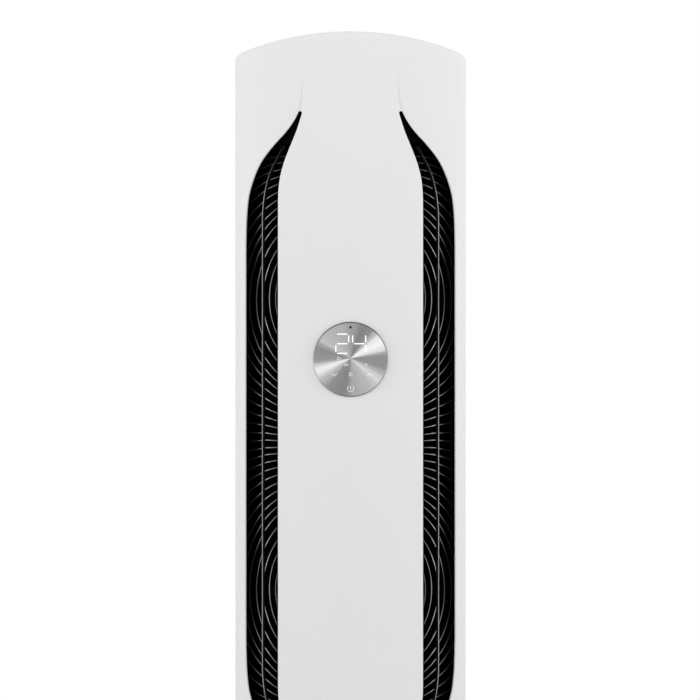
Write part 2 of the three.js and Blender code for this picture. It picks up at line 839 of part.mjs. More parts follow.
function displayHolder() {
  const front = displayBack + gap;
  const back = front + holderThickness;
  const plate = rodAlongY(holderRadius, 0, displayHeight, front, back, discFacets);
  const reach = displayBoardRadius - holderPostInset;
  const posts = [90, 210, 330].map(radians).map((angle) =>
    rodAlongY(
      holderPostRadius, reach * Math.cos(angle), displayHeight + reach * Math.sin(angle),
      displayBoardBack + gap, front + past, pinFacets,
    ));
  const cableHole = rodAlongY(holderCableHole, 0, displayHeight, front - past, back + past);
  return cut(joined(plate, ...posts), cableHole);
}

// ---------------------------------------------------------------- air path
// A sheet that follows a line in plan.
function sheetAlong(points, thickness) {
  const offset = (sign) => points.map(([x, y], i) => {
    const [px, py] = points[Math.max(i - 1, 0)];
    const [nx, ny] = points[Math.min(i + 1, points.length - 1)];
    const length = Math.hypot(nx - px, ny - py);
    const shift = (sign * thickness) / 2 / length;
    return [x - (ny - py) * shift, y + (nx - px) * shift];
  });
  return [...offset(-1), ...offset(1).reverse()];
}

const outletOuterX = outerHalf[outerHalf.length - 1][0];
const outletInnerX = innerHalf[innerHalf.length - 1][0];

function scroll(side) {
  const points = [];
  for (let step = 0; step <= scrollSteps; step += 1) {
    const share = step / scrollSteps;
    const angle = radians(scrollStartAngle + (scrollEndAngle - scrollStartAngle) * share);
    const radius = fanRadius + scrollStartGap + (scrollEndGap - scrollStartGap) * share;
    points.push([fanX + radius * Math.cos(angle), fanY + radius * Math.sin(angle)]);
  }
  const mouthX = outletOuterX + guardFrameWidth / 2;
  points.push([mouthX, guardBackY(mouthX) + ductSheet]);
  return planPrism(mirrored(sheetAlong(points, ductSheet), side), ductBottom, ductTop);
}

function ductWall(side) {
  const mouthX = outletInnerX - guardFrameWidth / 2;
  const tipY = fanY - fanRadius - stabiliserGap;
  const points = [
    [mouthX, guardBackY(mouthX) + ductSheet],
    [fanX + stabiliserLean, tipY - stabiliserRise],
    [fanX, tipY - ductSheet],
    [fanX - stabiliserLip, tipY - ductSheet],
    [fanX - stabiliserReturn, tipY - stabiliserStep],
    [gap, tipY - stabiliserStep],
  ];
  return planPrism(mirrored(sheetAlong(points, ductSheet), side), ductBottom, ductTop);
}

function fan(side) {
  const x = side * fanX;
  const bottom = lowerDeckTop + fanEndGap;
  const top = upperDeckBottom - fanEndGap - bearingHeight;
  const middle = (bottom + top) / 2;
  const discs = [bottom, middle - fanDisc / 2, top - fanDisc].map((z) =>
    rod(fanRadius, x, fanY, z, z + fanDisc, fanFacets));
  const blades = [];
  const half = fanBladeThickness / 2;
  const inner = fanRadius - fanBladeChord;
  const outer = fanRadius - fanBladeInset;
  for (let number = 0; number < fanBlades; number += 1) {
    const geometry = new THREE.ExtrudeGeometry(
      shapeFrom([[inner, -half], [outer, fanBladeLean - half], [outer, fanBladeLean + half], [inner, half]]),
      { depth: top - bottom - fanDisc, bevelEnabled: false },
    );
    geometry.rotateZ((2 * Math.PI * number) / fanBlades);
    geometry.translate(x, fanY, bottom + fanDisc / 2);
    blades.push(toSolid(geometry));
  }
  const lowerShaft = rod(shaftRadius, x, fanY, lowerDeckBottom - shaftInMotor, bottom + past);
  const upperShaft = rod(shaftRadius, x, fanY, top - past, upperDeckBottom - gap * 2);
  return joined(discs[0], discs[1].add(discs[2]), ...blades, lowerShaft, upperShaft);
}

function fanBearing(side) {
  const z = [upperDeckBottom - bearingHeight, upperDeckBottom - gap];
  return cut(
    rod(bearingRadius, side * fanX, fanY, ...z),
    rod(shaftRadius + runningGap, side * fanX, fanY, z[0] - past, z[1] + past),
  );
}

function fanMotor(side) {
  const top = lowerDeckBottom - gap;
  const flangeBottom = top - motorFlangeThickness;
  const x = side * fanX;
  return cut(
    joined(
      rod(motorRadius, x, fanY, flangeBottom, top, fanFacets),
      rod(motorRadius - motorFlange, x, fanY, top - motorHeight, flangeBottom + past, fanFacets),
    ),
    rod(shaftRadius + runningGap, x, fanY, top - shaftInMotor - shaftEndGap, top + past),
  );
}

// ---------------------------------------------------------------- swing vanes
const armBottom = upperDeckTop + gap;
const armTop = armBottom + vaneArmThickness;

function vane(side, index) {
  const x = side * vaneX[index];
  const bottom = lowerDeckTop + vaneEndGap;
  const top = upperDeckBottom - vaneEndGap;
  const halfChord = vaneChord / 2;
  const blade = new THREE.ExtrudeGeometry(
    shapeFrom([
      [0, -halfChord], [vaneThickness / 2, -halfChord / 3], [vaneThickness / 2, halfChord / 2],
      [0, halfChord], [-vaneThickness / 2, halfChord / 2], [-vaneThickness / 2, -halfChord / 3],
    ]),
    { depth: top - bottom, bevelEnabled: false },
  );
  blade.rotateZ(radians(side * vaneAngle));
  blade.translate(x, vaneY, bottom);
  const driven = index === 0;
  const pinBottom = driven ? lowerDeckBottom - vanePinInMotor : lowerDeckBottom;
  const lowerPin = rod(vanePinRadius, x, vaneY, pinBottom, bottom + vanePinSeat, pinFacets);
  const upperPin = rod(vanePinRadius, x, vaneY, top - vanePinSeat, armTop, pinFacets);
  const arm = block(
    x - vaneArmWidth / 2, x + vaneArmWidth / 2, vaneY - vaneArmWidth / 2, vaneY + vaneArm + vaneArmWidth / 2,
    armBottom, armTop,
  );
  const pinTop = armTop + gap + linkThickness + crankPinStand;
  const crankPin = rod(crankPinRadius, x, vaneY + vaneArm, armTop - past, pinTop);
  return joined(toSolid(blade), lowerPin, upperPin, arm, crankPin);
}

function vaneLink(side) {
  const z = [armTop + gap, armTop + gap + linkThickness];
  const ends = vaneX.map((x) => side * x);
  const y = vaneY + vaneArm;
  const bar = block(
    Math.min(...ends) - vaneArmWidth / 2, Math.max(...ends) + vaneArmWidth / 2,
    y - vaneArmWidth / 2, y + vaneArmWidth / 2, ...z,
  );
  const holes = ends.map((x) => rod(crankPinRadius + gap, x, y, z[0] - past, z[1] + past, pinFacets));
  return cut(bar, ...holes);
}

function vaneMotor(side) {
  const top = lowerDeckBottom - gap;
  const x = side * vaneX[0];
  return cut(
    rod(vaneMotorRadius, x, vaneY, top - vaneMotorHeight, top),
    rod(vanePinRadius + gap, x, vaneY, top - vanePinInMotor - gap * 2, top + past, pinFacets),
  );
}

// ---------------------------------------------------------------- coil, pan and pipes
function coilFins() {
  const pitch = (2 * coilHalfWidth) / finGrooves;
  const outline = [[-coilHalfWidth, coilFront], [coilHalfWidth, coilFront], [coilHalfWidth, coilBack]];
  for (let groove = 0; groove < finGrooves; groove += 1) {
    const x = coilHalfWidth - pitch * (groove + 0.25);
    outline.push([x, coilBack], [x, coilBack - finGrooveDepth]);
    outline.push([x - pitch / 2, coilBack - finGrooveDepth], [x - pitch / 2, coilBack]);
  }
  outline.push([-coilHalfWidth, coilBack]);
  return planPrism(outline, coilBottom, coilTop);
}

// Half-round tube bends that stand on an end plate.
function coilBends(z, way) {
  const spacing = (2 * coilHalfWidth) / bendCount;
  const reach = bendRadius + bendTubeRadius + past;
  const seat = endPlate / 4;
  const keep = way > 0 ? [z - seat, z + reach] : [z - reach, z + seat];
  const bends = [];
  for (let number = 0; number < bendCount; number += 1) {
    const ring = new THREE.TorusGeometry(bendRadius, bendTubeRadius, nutFacets, pinFacets);
    ring.rotateY(Math.PI / 2);
    ring.translate(-coilHalfWidth + spacing * (number + 0.5), coilMiddleY, z);
    bends.push(toSolid(ring).intersect(block(-halfWidth, halfWidth, coilFront, coilBack, ...keep)));
  }
  return bends;
}

function coilEndPlate(way) {
  const lowest = way > 0 ? coilTop + gap : coilBottom - gap - endPlate;
  const z = [lowest, lowest + endPlate];
  const x = coilHalfWidth + endPlateOverhang;
  const plate = block(-x, x, coilFront - endPlateOverhang, coilBack + endPlateOverhang, ...z);
  const bends = coilBends(way > 0 ? z[1] : z[0], way);
  if (way < 0) return joined(plate, ...bends);
  const earTop = upperDeckBottom - gap;
  const ears = [
    block(-x, -x + coilEar, coilFront, coilBack, z[0], earTop),
    block(x - coilEar, x, coilFront, coilBack, z[0], earTop),
  ];
  return joined(plate, ...bends, ...ears);
}

function drainPan() {
  const x = coilHalfWidth + endPlateOverhang;
  const y0 = coilFront - endPlateOverhang;
  const y1 = coilBack + endPlateOverhang;
  const top = coilBottom - gap * 2 - endPlate;
  const bottom = lowerDeckTop + gap;
  const tray = cut(
    block(-x, x, y0, y1, bottom, top),
    block(-x + panWall, x - panWall, y0 + panWall, y1 - panWall, bottom + panWall, top + past),
  );
  const spoutEnd = lowerDeckTop - drainLength;
  const spout = rod(drainRadius, drainX, coilMiddleY, spoutEnd, bottom + panWall);
  const bore = rod(drainBore, drainX, coilMiddleY, spoutEnd - past, bottom + panWall + past);
  return cut(joined(tray, spout), bore);
}

function pipe(radius, y) {
  const top = lowerDeckTop + pipeTopAboveDeck;
  const bend = new THREE.QuadraticBezierCurve3(
    new THREE.Vector3(pipeX - pipeBend, y, top),
    new THREE.Vector3(pipeX, y, top),
    new THREE.Vector3(pipeX, y, top - pipeBend),
  );
  const start = new THREE.Vector3(coilHalfWidth + gap, y, top);
  const end = new THREE.Vector3(pipeX, y, pipeEnd);
  const section = [];
  for (let i = 0; i < tubeFacets; i += 1) {
    const angle = (2 * Math.PI * i) / tubeFacets;
    section.push([radius * Math.cos(angle), radius * Math.sin(angle)]);
  }
  return sweptTube([start, ...bend.getPoints(bendSteps), end], section);
}

// A tube through points in one X-Z plane.
function sweptTube(points, section) {
  const vertices = [];
  points.forEach((point, i) => {
    const before = points[Math.max(i - 1, 0)];
    const after = points[Math.min(i + 1, points.length - 1)];
    const along = after.clone().sub(before).normalize();
    const across = new THREE.Vector3(0, 1, 0);
    const up = across.clone().cross(along);
    for (const [a, b] of section) {
      const place = point.clone().addScaledVector(across, a).addScaledVector(up, -b);
      vertices.push(place.x, place.y, place.z);
    }
  });
  const count = section.length;
  const faces = [];
  for (let ring = 0; ring + 1 < points.length; ring += 1) {
    for (let i = 0; i < count; i += 1) {
      const a = ring * count + i;
      const b = ring * count + ((i + 1) % count);
      faces.push(a, b, b + count, a, b + count, a + count);
    }
  }
  const last = (points.length - 1) * count;
  for (let i = 1; i + 1 < count; i += 1) {
    faces.push(0, i + 1, i);
    faces.push(last, last + i, last + i + 1);
  }
  const geometry = new THREE.BufferGeometry();
  geometry.setAttribute('position', new THREE.Float32BufferAttribute(vertices, 3));
  geometry.setIndex(faces);
  return toSolid(geometry);
}

function flareNut(radius, y) {
  const half = flareNutHeight / 2;
  return cut(
    rod(radius + flareNutWall, pipeX, y, pipeEnd - half, pipeEnd + half, nutFacets),
    rod(radius + gap, pipeX, y, pipeEnd - flareNutHeight, pipeEnd + flareNutHeight, pinFacets),
  );
}

// ---------------------------------------------------------------- filters and grille
// How far out the casing's rear corner reaches at the filters' back.
const cornerReach = Math.sqrt(rearCornerRadius ** 2 - (rearCornerRadius - halfDepth + filterBack) ** 2);
const filterLength = halfWidth - rearCornerRadius + cornerReach - gap;

function filter(side) {
  const x0 = gap;
  const x1 = filterLength;
  const span = (a, b) => (side > 0 ? [a, b] : [-b, -a]);
  const panel = block(...span(x0, x1), filterFront, filterBack, filterBottom, filterTop);
  const cellWidth = (x1 - x0 - filterFrame * (filterColumns + 1)) / filterColumns;
  const cellHeight = (filterTop - filterBottom - filterFrame * (filterRows + 1)) / filterRows;
  const cells = [];
  for (let column = 0; column < filterColumns; column += 1) {
    for (let row = 0; row < filterRows; row += 1) {
      const x = x0 + filterFrame + column * (cellWidth + filterFrame);
      const z = filterBottom + filterFrame + row * (cellHeight + filterFrame);
      const y = [filterFront - past, filterBack - filterPanel];
      cells.push(block(...span(x, x + cellWidth), ...y, z, z + cellHeight));
    }
  }
  const middle = (filterBottom + filterTop) / 2;
  const tab = block(
    ...span(x1 - past, x1 + filterHandleDepth), filterFront, filterFront + filterThickness / 2,
    middle - filterHandleHeight / 2, middle + filterHandleHeight / 2,
  );
  return joined(cut(panel, ...cells), tab);
}

function filterRail(way) {
  const near = way > 0 ? filterTop - railLip : lowerDeckTop + gap;
  const far = way > 0 ? upperDeckBottom - gap : filterBottom + railLip;
  const x = filterLength - railEndGap;
  const y0 = filterFront - gap - railWall;
  const y1 = filterBack + gap + railWall;
  const groove = way > 0 ? [near - past, filterTop + gap] : [filterBottom - gap, far + past];
  return cut(
    block(-x, x, y0, y1, near, far),
    block(-x - past, x + past, y0 + railWall, y1 - railWall, ...groove),
  );
}

function rearGrille() {
  const y = [halfDepth + proud - grilleDepth, halfDepth + proud];
  const panel = block(-grilleHalfWidth, grilleHalfWidth, ...y, grilleBottom, grilleTop);
  const cellWidth = (2 * grilleHalfWidth - grilleFrame * (grilleColumns + 1)) / grilleColumns;
  const pitch = (grilleTop - grilleBottom - grilleFrame * 2 + grilleSlat) / grilleRows;
  const cells = [];
  for (let column = 0; column < grilleColumns; column += 1) {
    for (let row = 0; row < grilleRows; row += 1) {
      const x = -grilleHalfWidth + grilleFrame + column * (cellWidth + grilleFrame);
      const z = grilleBottom + grilleFrame + row * pitch;
      cells.push(block(x, x + cellWidth, y[0] - past, y[1] + past, z, z + pitch - grilleSlat));
    }
  }
  return cut(panel, ...cells);
}

// ---------------------------------------------------------------- electrics
function controlBox() {
  const x = controlHalfWidth;
  const body = block(-x, x, controlFront, controlBack, controlBottom, controlTop);
  const insideX = x - controlWall;
  const inside = block(
    -insideX, insideX, controlFront - past, controlBack - controlWall,
    controlBottom + controlWall, controlTop - controlWall,
  );
  const postX = x - boardMargin - boardPost;
  const postZ = [controlBottom + boardMargin + boardPost, controlTop - boardMargin - boardPost];
  const y = [controlBack - controlWall - boardPost, controlBack - controlWall / 2];
  const posts = [-postX, postX].flatMap((px) =>
    postZ.map((pz) => rodAlongY(boardPost / 2, px, pz, ...y, pinFacets)));
  return joined(cut(body, inside), ...posts);
}

function controlBoxLid() {
  const back = controlFront - gap;
  return block(-controlHalfWidth, controlHalfWidth, back - controlLid, back, controlBottom, controlTop);
}

function controlBoard() {
  const x = controlHalfWidth - boardMargin;
  const back = controlBack - controlWall - boardPost - gap;
  const front = back - boardThickness;
  const bottom = controlBottom + boardMargin;
  const top = controlTop - boardMargin;
  const board = block(-x, x, front, back, bottom, top);
  const [canRadius, canHeight] = capacitorSize;
  const canX = -x + componentMargin + canRadius;
  const canZ = bottom + componentMargin + canRadius;
  const seat = front + boardThickness / 2;
  const capacitor = rodAlongY(canRadius, canX, canZ, front - canHeight, seat, pinFacets);
  const [sinkWidth, sinkDepth, sinkHeight] = heatSinkSize;
  const heatSink = block(
    x - componentMargin - sinkWidth, x - componentMargin, front - sinkDepth, seat,
    bottom + componentMargin, bottom + componentMargin + sinkHeight,
  );
  const [relayWidth, relayDepth, relayHeight] = relaySize;
  const relay = block(
    -x + componentMargin, -x + componentMargin + relayWidth, front - relayDepth, seat,
    top - componentMargin - relayHeight, top - componentMargin,
  );
  return joined(board, capacitor, heatSink, relay);
}

function terminalBlock() {
  const [width, depth, height] = terminalSize;
  const top = controlBottom - gap;
  const y = (controlFront + controlBack) / 2;
  const front = y - depth / 2;
  const half = terminalSlot / 2;
  const body = block(-width / 2, width / 2, front, y + depth / 2, top - height, top);
  const slots = [-width / 3, 0, width / 3].map((x) =>
    block(x - half, x + half, front - past, y, top - height - past, top - height / 2));
  return cut(body, ...slots);
}

function cableGland() {
  const outside = halfDepth + gap;
  const inside = outside - glandLength;
  return cut(
    joined(
      rodAlongY(glandFlange, glandX, glandAboveFloor, outside, halfDepth + proud, nutFacets),
      rodAlongY(glandRadius, glandX, glandAboveFloor, inside, outside + past),
    ),
    rodAlongY(glandBore, glandX, glandAboveFloor, inside - past, halfDepth + proud + past, pinFacets),
  );
}

// ---------------------------------------------------------------- screws
function screwPlaces() {
  const low = plateTop + baseWallHeight / 2;
  const high = upperDeckTop + deckFlangeHeight / 2;
  return [
    { name: 'lower_left', x: -screwX, z: low },
    { name: 'lower_right', x: screwX, z: low },
    { name: 'upper_left', x: -screwX, z: high },
    { name: 'upper_right', x: screwX, z: high },
  ];
}

function screw({ x, z }) {
  return joined(
    rodAlongY(screwHeadRadius, x, z, halfDepth + gap, halfDepth + proud, pinFacets),
    rodAlongY(screwRadius, x, z, halfDepth - screwLength, halfDepth + past, pinFacets),
  );
}

// ---------------------------------------------------------------- assembly
const machine = new THREE.Group();

function place(name, solid, look) {
  const mesh = new THREE.Mesh(toGeometry(solid), look);
  mesh.name = name;
  machine.add(mesh);
}

place('front_cover', frontCover(), white);
place('rear_cover', rearCover(), white);
place('top_cover', topCover(), white);
place('base_tray', baseTray(), darkPlastic);
for (const [name, spot] of Object.entries(footPlaces)) {
  place(`foot_${name}`, foot(spot), rubber);
}

place('display_disc', displayDisc(), spunMetal);
place('receiver_lens', receiverLens(), smokedLens);
place('display_board', displayBoard(), circuitGreen);
place('display_holder', displayHolder(), blackPlastic);

place('lower_deck', lowerDeck(), sheetSteel);
place('upper_deck', upperDeck(), sheetSteel);
place('coil_fins', coilFins(), aluminium);
place('coil_bends_top', coilEndPlate(1), copper);
place('coil_bends_bottom', coilEndPlate(-1), copper);
place('drain_pan', drainPan(), darkPlastic);
place('gas_pipe', pipe(gasPipeRadius, gasPipeY), copper);
place('liquid_pipe', pipe(liquidPipeRadius, liquidPipeY), copper);
place('gas_flare_nut', flareNut(gasPipeRadius, gasPipeY), brass);
place('liquid_flare_nut', flareNut(liquidPipeRadius, liquidPipeY), brass);
place('filter_rail_top', filterRail(1), greyPlastic);
place('filter_rail_bottom', filterRail(-1), greyPlastic);
place('rear_grille', rearGrille(), white);

place('control_box', controlBox(), sheetSteel);
place('control_box_lid', controlBoxLid(), sheetSteel);
place('control_board', controlBoard(), circuitGreen);
place('terminal_block', terminalBlock(), blackPlastic);
place('cable_gland', cableGland(), blackPlastic);
for (const spot of screwPlaces()) {
  place(`screw_${spot.name}`, screw(spot), sheetSteel);
}

for (const [name, side] of Object.entries(sides)) {
  place(`vent_guard_${name}`, ventGuard(side), blackPlastic);
  place(`vent_bar_${name}`, ventBar(side), blackPlastic);
  place(`upright_${name}`, upright(side), sheetSteel);
  place(`scroll_${name}`, scroll(side), darkPlastic);
  place(`duct_wall_${name}`, ductWall(side), darkPlastic);
  place(`fan_${name}`, fan(side), darkPlastic);
  place(`fan_bearing_${name}`, fanBearing(side), rubber);
  place(`fan_motor_${name}`, fanMotor(side), sheetSteel);
  place(`vane_inner_${name}`, vane(side, 0), blackPlastic);
  place(`vane_outer_${name}`, vane(side, 1), blackPlastic);
  place(`vane_link_${name}`, vaneLink(side), greyPlastic);
  place(`vane_motor_${name}`, vaneMotor(side), greyPlastic);
  place(`filter_${name}`, filter(side), greyPlastic);
}

export default machine;
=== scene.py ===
# %% [markdown]
# # A floor-standing air conditioner, dressed in Blender
# The machine is a tall white tower. Its front is gently curved, its top is crowned, and two black air
# outlets sweep down the front past a round metal display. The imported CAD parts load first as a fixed
# frame, and every piece made here rides on one of its bodies. All helpers work in millimetres, as the
# CAD does, and `solid` turns them into metres.

# %% Load the frame
import math

import bpy
import numpy as np
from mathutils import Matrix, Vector


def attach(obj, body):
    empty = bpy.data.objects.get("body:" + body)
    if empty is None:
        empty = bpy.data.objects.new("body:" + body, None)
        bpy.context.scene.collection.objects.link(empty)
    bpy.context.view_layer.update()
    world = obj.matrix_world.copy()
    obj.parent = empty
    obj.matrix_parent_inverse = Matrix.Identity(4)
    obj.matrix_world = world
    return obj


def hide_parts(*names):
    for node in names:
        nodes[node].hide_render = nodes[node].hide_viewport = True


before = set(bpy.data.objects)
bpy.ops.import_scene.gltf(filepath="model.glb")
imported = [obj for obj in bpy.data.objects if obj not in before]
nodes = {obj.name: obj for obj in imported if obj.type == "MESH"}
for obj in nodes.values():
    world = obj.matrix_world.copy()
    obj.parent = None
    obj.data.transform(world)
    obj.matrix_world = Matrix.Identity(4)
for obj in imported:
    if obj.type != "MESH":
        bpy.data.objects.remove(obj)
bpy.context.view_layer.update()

# %% [markdown]
# ## Camera
# The picture is a straight front view, taken level with the tower's upper half. A long lens keeps the
# verticals parallel. The shift stays at zero, so other views can turn the same camera.

# %% Place the camera
camera = bpy.data.objects.new("camera", bpy.data.cameras.new("camera"))
bpy.context.collection.objects.link(camera)
camera.location = (-0.0008, -2.465, 1.3151)
camera.rotation_euler = (math.radians(90), 0, 0)
camera.data.lens = 76.4
camera.data.sensor_width = 36
bpy.context.scene.camera = camera
bpy.context.scene.view_settings.view_transform = "Standard"
print("camera at", tuple(round(v, 3) for v in camera.location))

# %% [markdown]
# ## Light
# A white studio: the world shows pure white to the camera and to reflections, and lights matt surfaces
# more softly. Three large lamps add a slow change of tone across the curved front, a little brighter
# from the right and from above, as on the real machine. A fourth one lights the back.

# %% White world
def node_of(tree, kind, **inputs):
    """Adds a shader node and sets its inputs by name; spaces are written as underscores."""
    made = tree.nodes.new(kind)
    for key, value in inputs.items():
        made.inputs[key.replace("_", " ")].default_value = value
    return made


def looking_rays(tree):
    """A value that is 1 on rays that see the surroundings, straight or mirrored, and 0 on the others."""
    rays = tree.nodes.new("ShaderNodeLightPath")
    value = rays.outputs["Is Camera Ray"]
    for kind in ("Is Glossy Ray", "Is Transmission Ray"):
        either = tree.nodes.new("ShaderNodeMath")
        either.operation = "MAXIMUM"
        tree.links.new(value, either.inputs[0])
        tree.links.new(rays.outputs[kind], either.inputs[1])
        value = either.outputs[0]
    return value


world = bpy.data.worlds.new("studio")
bpy.context.scene.world = world
world.use_nodes = True
sky = world.node_tree
sky.nodes.clear()
world_out = sky.nodes.new("ShaderNodeOutputWorld")
seen = node_of(sky, "ShaderNodeBackground", Color=(1, 1, 1, 1), Strength=1)
shed = node_of(sky, "ShaderNodeBackground", Color=(1, 1, 1, 1), Strength=0.49)
blend = sky.nodes.new("ShaderNodeMixShader")
sky.links.new(looking_rays(sky), blend.inputs[0])
sky.links.new(shed.outputs[0], blend.inputs[1])
sky.links.new(seen.outputs[0], blend.inputs[2])
sky.links.new(blend.outputs[0], world_out.inputs["Surface"])
print("world nodes:", len(sky.nodes))


# %% Lamps
def lamp(name, place, target, size, watts):
    """A large square area lamp that faces its target."""
    light = bpy.data.lights.new(name, "AREA")
    light.size = size
    light.energy = watts
    made = bpy.data.objects.new(name, light)
    made.location = place
    made.rotation_euler = (Vector(target) - Vector(place)).to_track_quat("-Z", "Y").to_euler()
    made.visible_glossy = False
    bpy.context.collection.objects.link(made)
    return made


lamps = [
    lamp("lamp_front", (0.1, -3.0, 3.2), (0, 0, 1.4), 2.6, 35),
    lamp("lamp_left", (-2.8, -1.1, 2.1), (0, 0, 1.1), 2.0, 33),
    lamp("lamp_right", (2.9, -1.0, 2.3), (0, 0, 1.1), 2.0, 38),
    lamp("lamp_back", (0.3, 3.2, 2.6), (0, 0, 1.0), 2.4, 40),
]
print("lamps:", len(lamps))


# %% [markdown]
# ## Helpers
# A piece is a list of points and faces. `solid` makes it one object, smooths it except at true edges,
# and hands it to the frame: the body it rides on and the CAD nodes it stands for.

# %% Make a solid
def solid(name, points, faces, look, body="casing", stands_for=None, slot=None, sharp=38, kinds=None):
    """One piece, from points in millimetres. `look` is a material or several, `kinds` picks one per face."""
    mesh = bpy.data.meshes.new(name)
    mesh.from_pydata((np.asarray(points, float) / 1000).tolist(), [], [list(map(int, f)) for f in faces])
    for material in look if isinstance(look, (list, tuple)) else [look]:
        mesh.materials.append(material)
    if kinds is not None:
        mesh.polygons.foreach_set("material_index", np.asarray(kinds, np.int32))
    mesh.shade_smooth()
    mesh.set_sharp_from_angle(angle=math.radians(sharp))
    made = bpy.data.objects.new(name, mesh)
    bpy.context.collection.objects.link(made)
    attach(made, body)
    if stands_for:
        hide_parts(stands_for)
    return made


# %% [markdown]
# Most small pieces are one of three forms: a turned form, a bar swept along a path, or a box with
# softened edges. Each returns points and faces, and `together` joins several into one piece.

# %% Turned, swept and boxed forms
def together(*forms):
    """Joins (points, faces) forms into one."""
    points, faces, start = [], [], 0
    for some_points, some_faces in forms:
        points.append(np.asarray(some_points, float))
        faces += [[start + i for i in face] for face in some_faces]
        start += len(some_points)
    return np.vstack(points), faces


def ring_faces(rows, count, closed=False):
    """Quads between rings of `count` points."""
    last = rows if closed else rows - 1
    return [
        (r * count + i, r * count + (i + 1) % count,
         (r + 1) % rows * count + (i + 1) % count, (r + 1) % rows * count + i)
        for r in range(last) for i in range(count)
    ]


def turned(profile, centre, axis="z", steps=48):
    """Turns a profile of (radius, height) round an axis. It ends on the axis, or closes on itself."""
    profile = np.asarray(profile, float)
    angle = np.arange(steps) * 2 * math.pi / steps
    closed = profile[0][0] > 0 and profile[-1][0] > 0
    body = profile if closed else profile[1:-1]
    a, b = np.outer(body[:, 0], np.cos(angle)), np.outer(body[:, 0], np.sin(angle))
    h = np.repeat(body[:, 1:2], steps, axis=1)
    points = np.stack([a, b, h], 2).reshape(-1, 3)
    faces = ring_faces(len(body), steps, closed)
    if not closed:
        low, high = len(points), len(points) + 1
        points = np.vstack([points, [0, 0, profile[0][1]], [0, 0, profile[-1][1]]])
        faces += [(low, (i + 1) % steps, i) for i in range(steps)]
        top = (len(body) - 1) * steps
        faces += [(high, top + i, top + (i + 1) % steps) for i in range(steps)]
    if axis == "y":
        points = points[:, [0, 2, 1]] * [1, 1, -1]
    return points + np.asarray(centre, float), faces


def swept(path, section, closed=False, up=(0, 0, 1)):
    """Sweeps a section of (across, up) points along a path and caps its ends."""
    path, section = np.asarray(path, float), np.asarray(section, float)
    ahead = np.roll(path, -1, 0) if closed else np.vstack([path[1:], path[-1:]])
    behind = np.roll(path, 1, 0) if closed else np.vstack([path[:1], path[:-1]])
    along = ahead - behind
    along /= np.linalg.norm(along, axis=1)[:, None]
    across = np.cross(along, np.asarray(up, float))
    across /= np.linalg.norm(across, axis=1)[:, None]
    lift = np.cross(across, along)
    points = path[:, None] + across[:, None] * section[None, :, :1] + lift[:, None] * section[None, :, 1:2]
    count = len(section)
    faces = ring_faces(len(path), count, closed)
    if not closed:
        faces += [tuple(range(count))[::-1], tuple(range((len(path) - 1) * count, len(path) * count))]
    return points.reshape(-1, 3), faces


def boxed(low, high, soft=0.6):
    """A box whose edges are cut off by `soft`."""
    low, high = np.asarray(low, float), np.asarray(high, float)
    soft = min(soft, float(min(high - low)) / 3)
    x0, y0, z0 = low
    x1, y1, z1 = high
    rings = []
    for z, inset in ((z0, soft), (z0 + soft, 0), (z1 - soft, 0), (z1, soft)):
        a, b, c, d = x0 + inset, x1 - inset, y0 + inset, y1 - inset
        s = soft if inset == 0 else soft / 2
        rings += [(a + s, c, z), (b - s, c, z), (b, c + s, z), (b, d - s, z),
                  (b - s, d, z), (a + s, d, z), (a, d - s, z), (a, c + s, z)]
    faces = ring_faces(4, 8) + [tuple(range(8))[::-1], tuple(range(24, 32))]
    return np.array(rings), faces


def circle(radius, steps=16):
    """Points round a circle, for a swept section."""
    angle = np.arange(steps) * 2 * math.pi / steps
    return np.stack([radius * np.cos(angle), radius * np.sin(angle)], 1)


print("helpers ready")


# %% [markdown]
# ## Finishes
# Every finish is a small node tree. Noise in the object's own coordinates moves the colour and the
# roughness a little, and gives a fine relief, so no surface is one flat colour. The white of the casing,
# for example, is a semi-gloss moulded plastic with a very faint grain.

# %% Finish helper
def tone(*srgb):
    """A colour from 0-255 screen values, as the linear colour that shaders use."""
    values = [v / 255 for v in (srgb * 3 if len(srgb) == 1 else srgb)]
    return (*[v / 12.92 if v < 0.04045 else ((v + 0.055) / 1.055) ** 2.4 for v in values], 1)


def finish(name, dark, light, grain=600, stretch=(1, 1, 1), rough=(0.35, 0.45), relief=0.1, metal=0.0,
           shine=0.5, kind="noise", detail=3):
    """A finish between two near colours. `grain` is repeats per metre, `relief` the bump strength."""
    material = bpy.data.materials.new(name)
    material.use_nodes = True
    tree = material.node_tree
    shader = tree.nodes["Principled BSDF"]
    shader.inputs["Metallic"].default_value = metal
    shader.inputs["Specular IOR Level"].default_value = shine
    place = tree.nodes.new("ShaderNodeTexCoord")
    scaled = node_of(tree, "ShaderNodeMapping", Scale=stretch)
    if kind == "cells":
        pattern = node_of(tree, "ShaderNodeTexVoronoi", Scale=grain)
    elif kind == "lines":
        pattern = node_of(tree, "ShaderNodeTexWave", Scale=grain, Distortion=0.4)
    else:
        pattern = node_of(tree, "ShaderNodeTexNoise", Scale=grain, Detail=detail, Roughness=0.55)
    tree.links.new(place.outputs["Object"], scaled.inputs["Vector"])
    tree.links.new(scaled.outputs["Vector"], pattern.inputs["Vector"])
    value = pattern.outputs["Color"] if kind == "cells" else pattern.outputs[1 if kind == "lines" else 0]
    mix = node_of(tree, "ShaderNodeMix")
    mix.data_type = "RGBA"
    mix.inputs[6].default_value, mix.inputs[7].default_value = dark, light
    tree.links.new(value, mix.inputs[0])
    tree.links.new(mix.outputs[2], shader.inputs["Base Color"])
    spread = node_of(tree, "ShaderNodeMapRange", To_Min=rough[0], To_Max=rough[1])
    tree.links.new(value, spread.inputs["Value"])
    tree.links.new(spread.outputs[0], shader.inputs["Roughness"])
    if relief:
        bump = node_of(tree, "ShaderNodeBump", Strength=relief, Distance=0.0002)
        tree.links.new(value, bump.inputs["Height"])
        tree.links.new(bump.outputs[0], shader.inputs["Normal"])
    return material


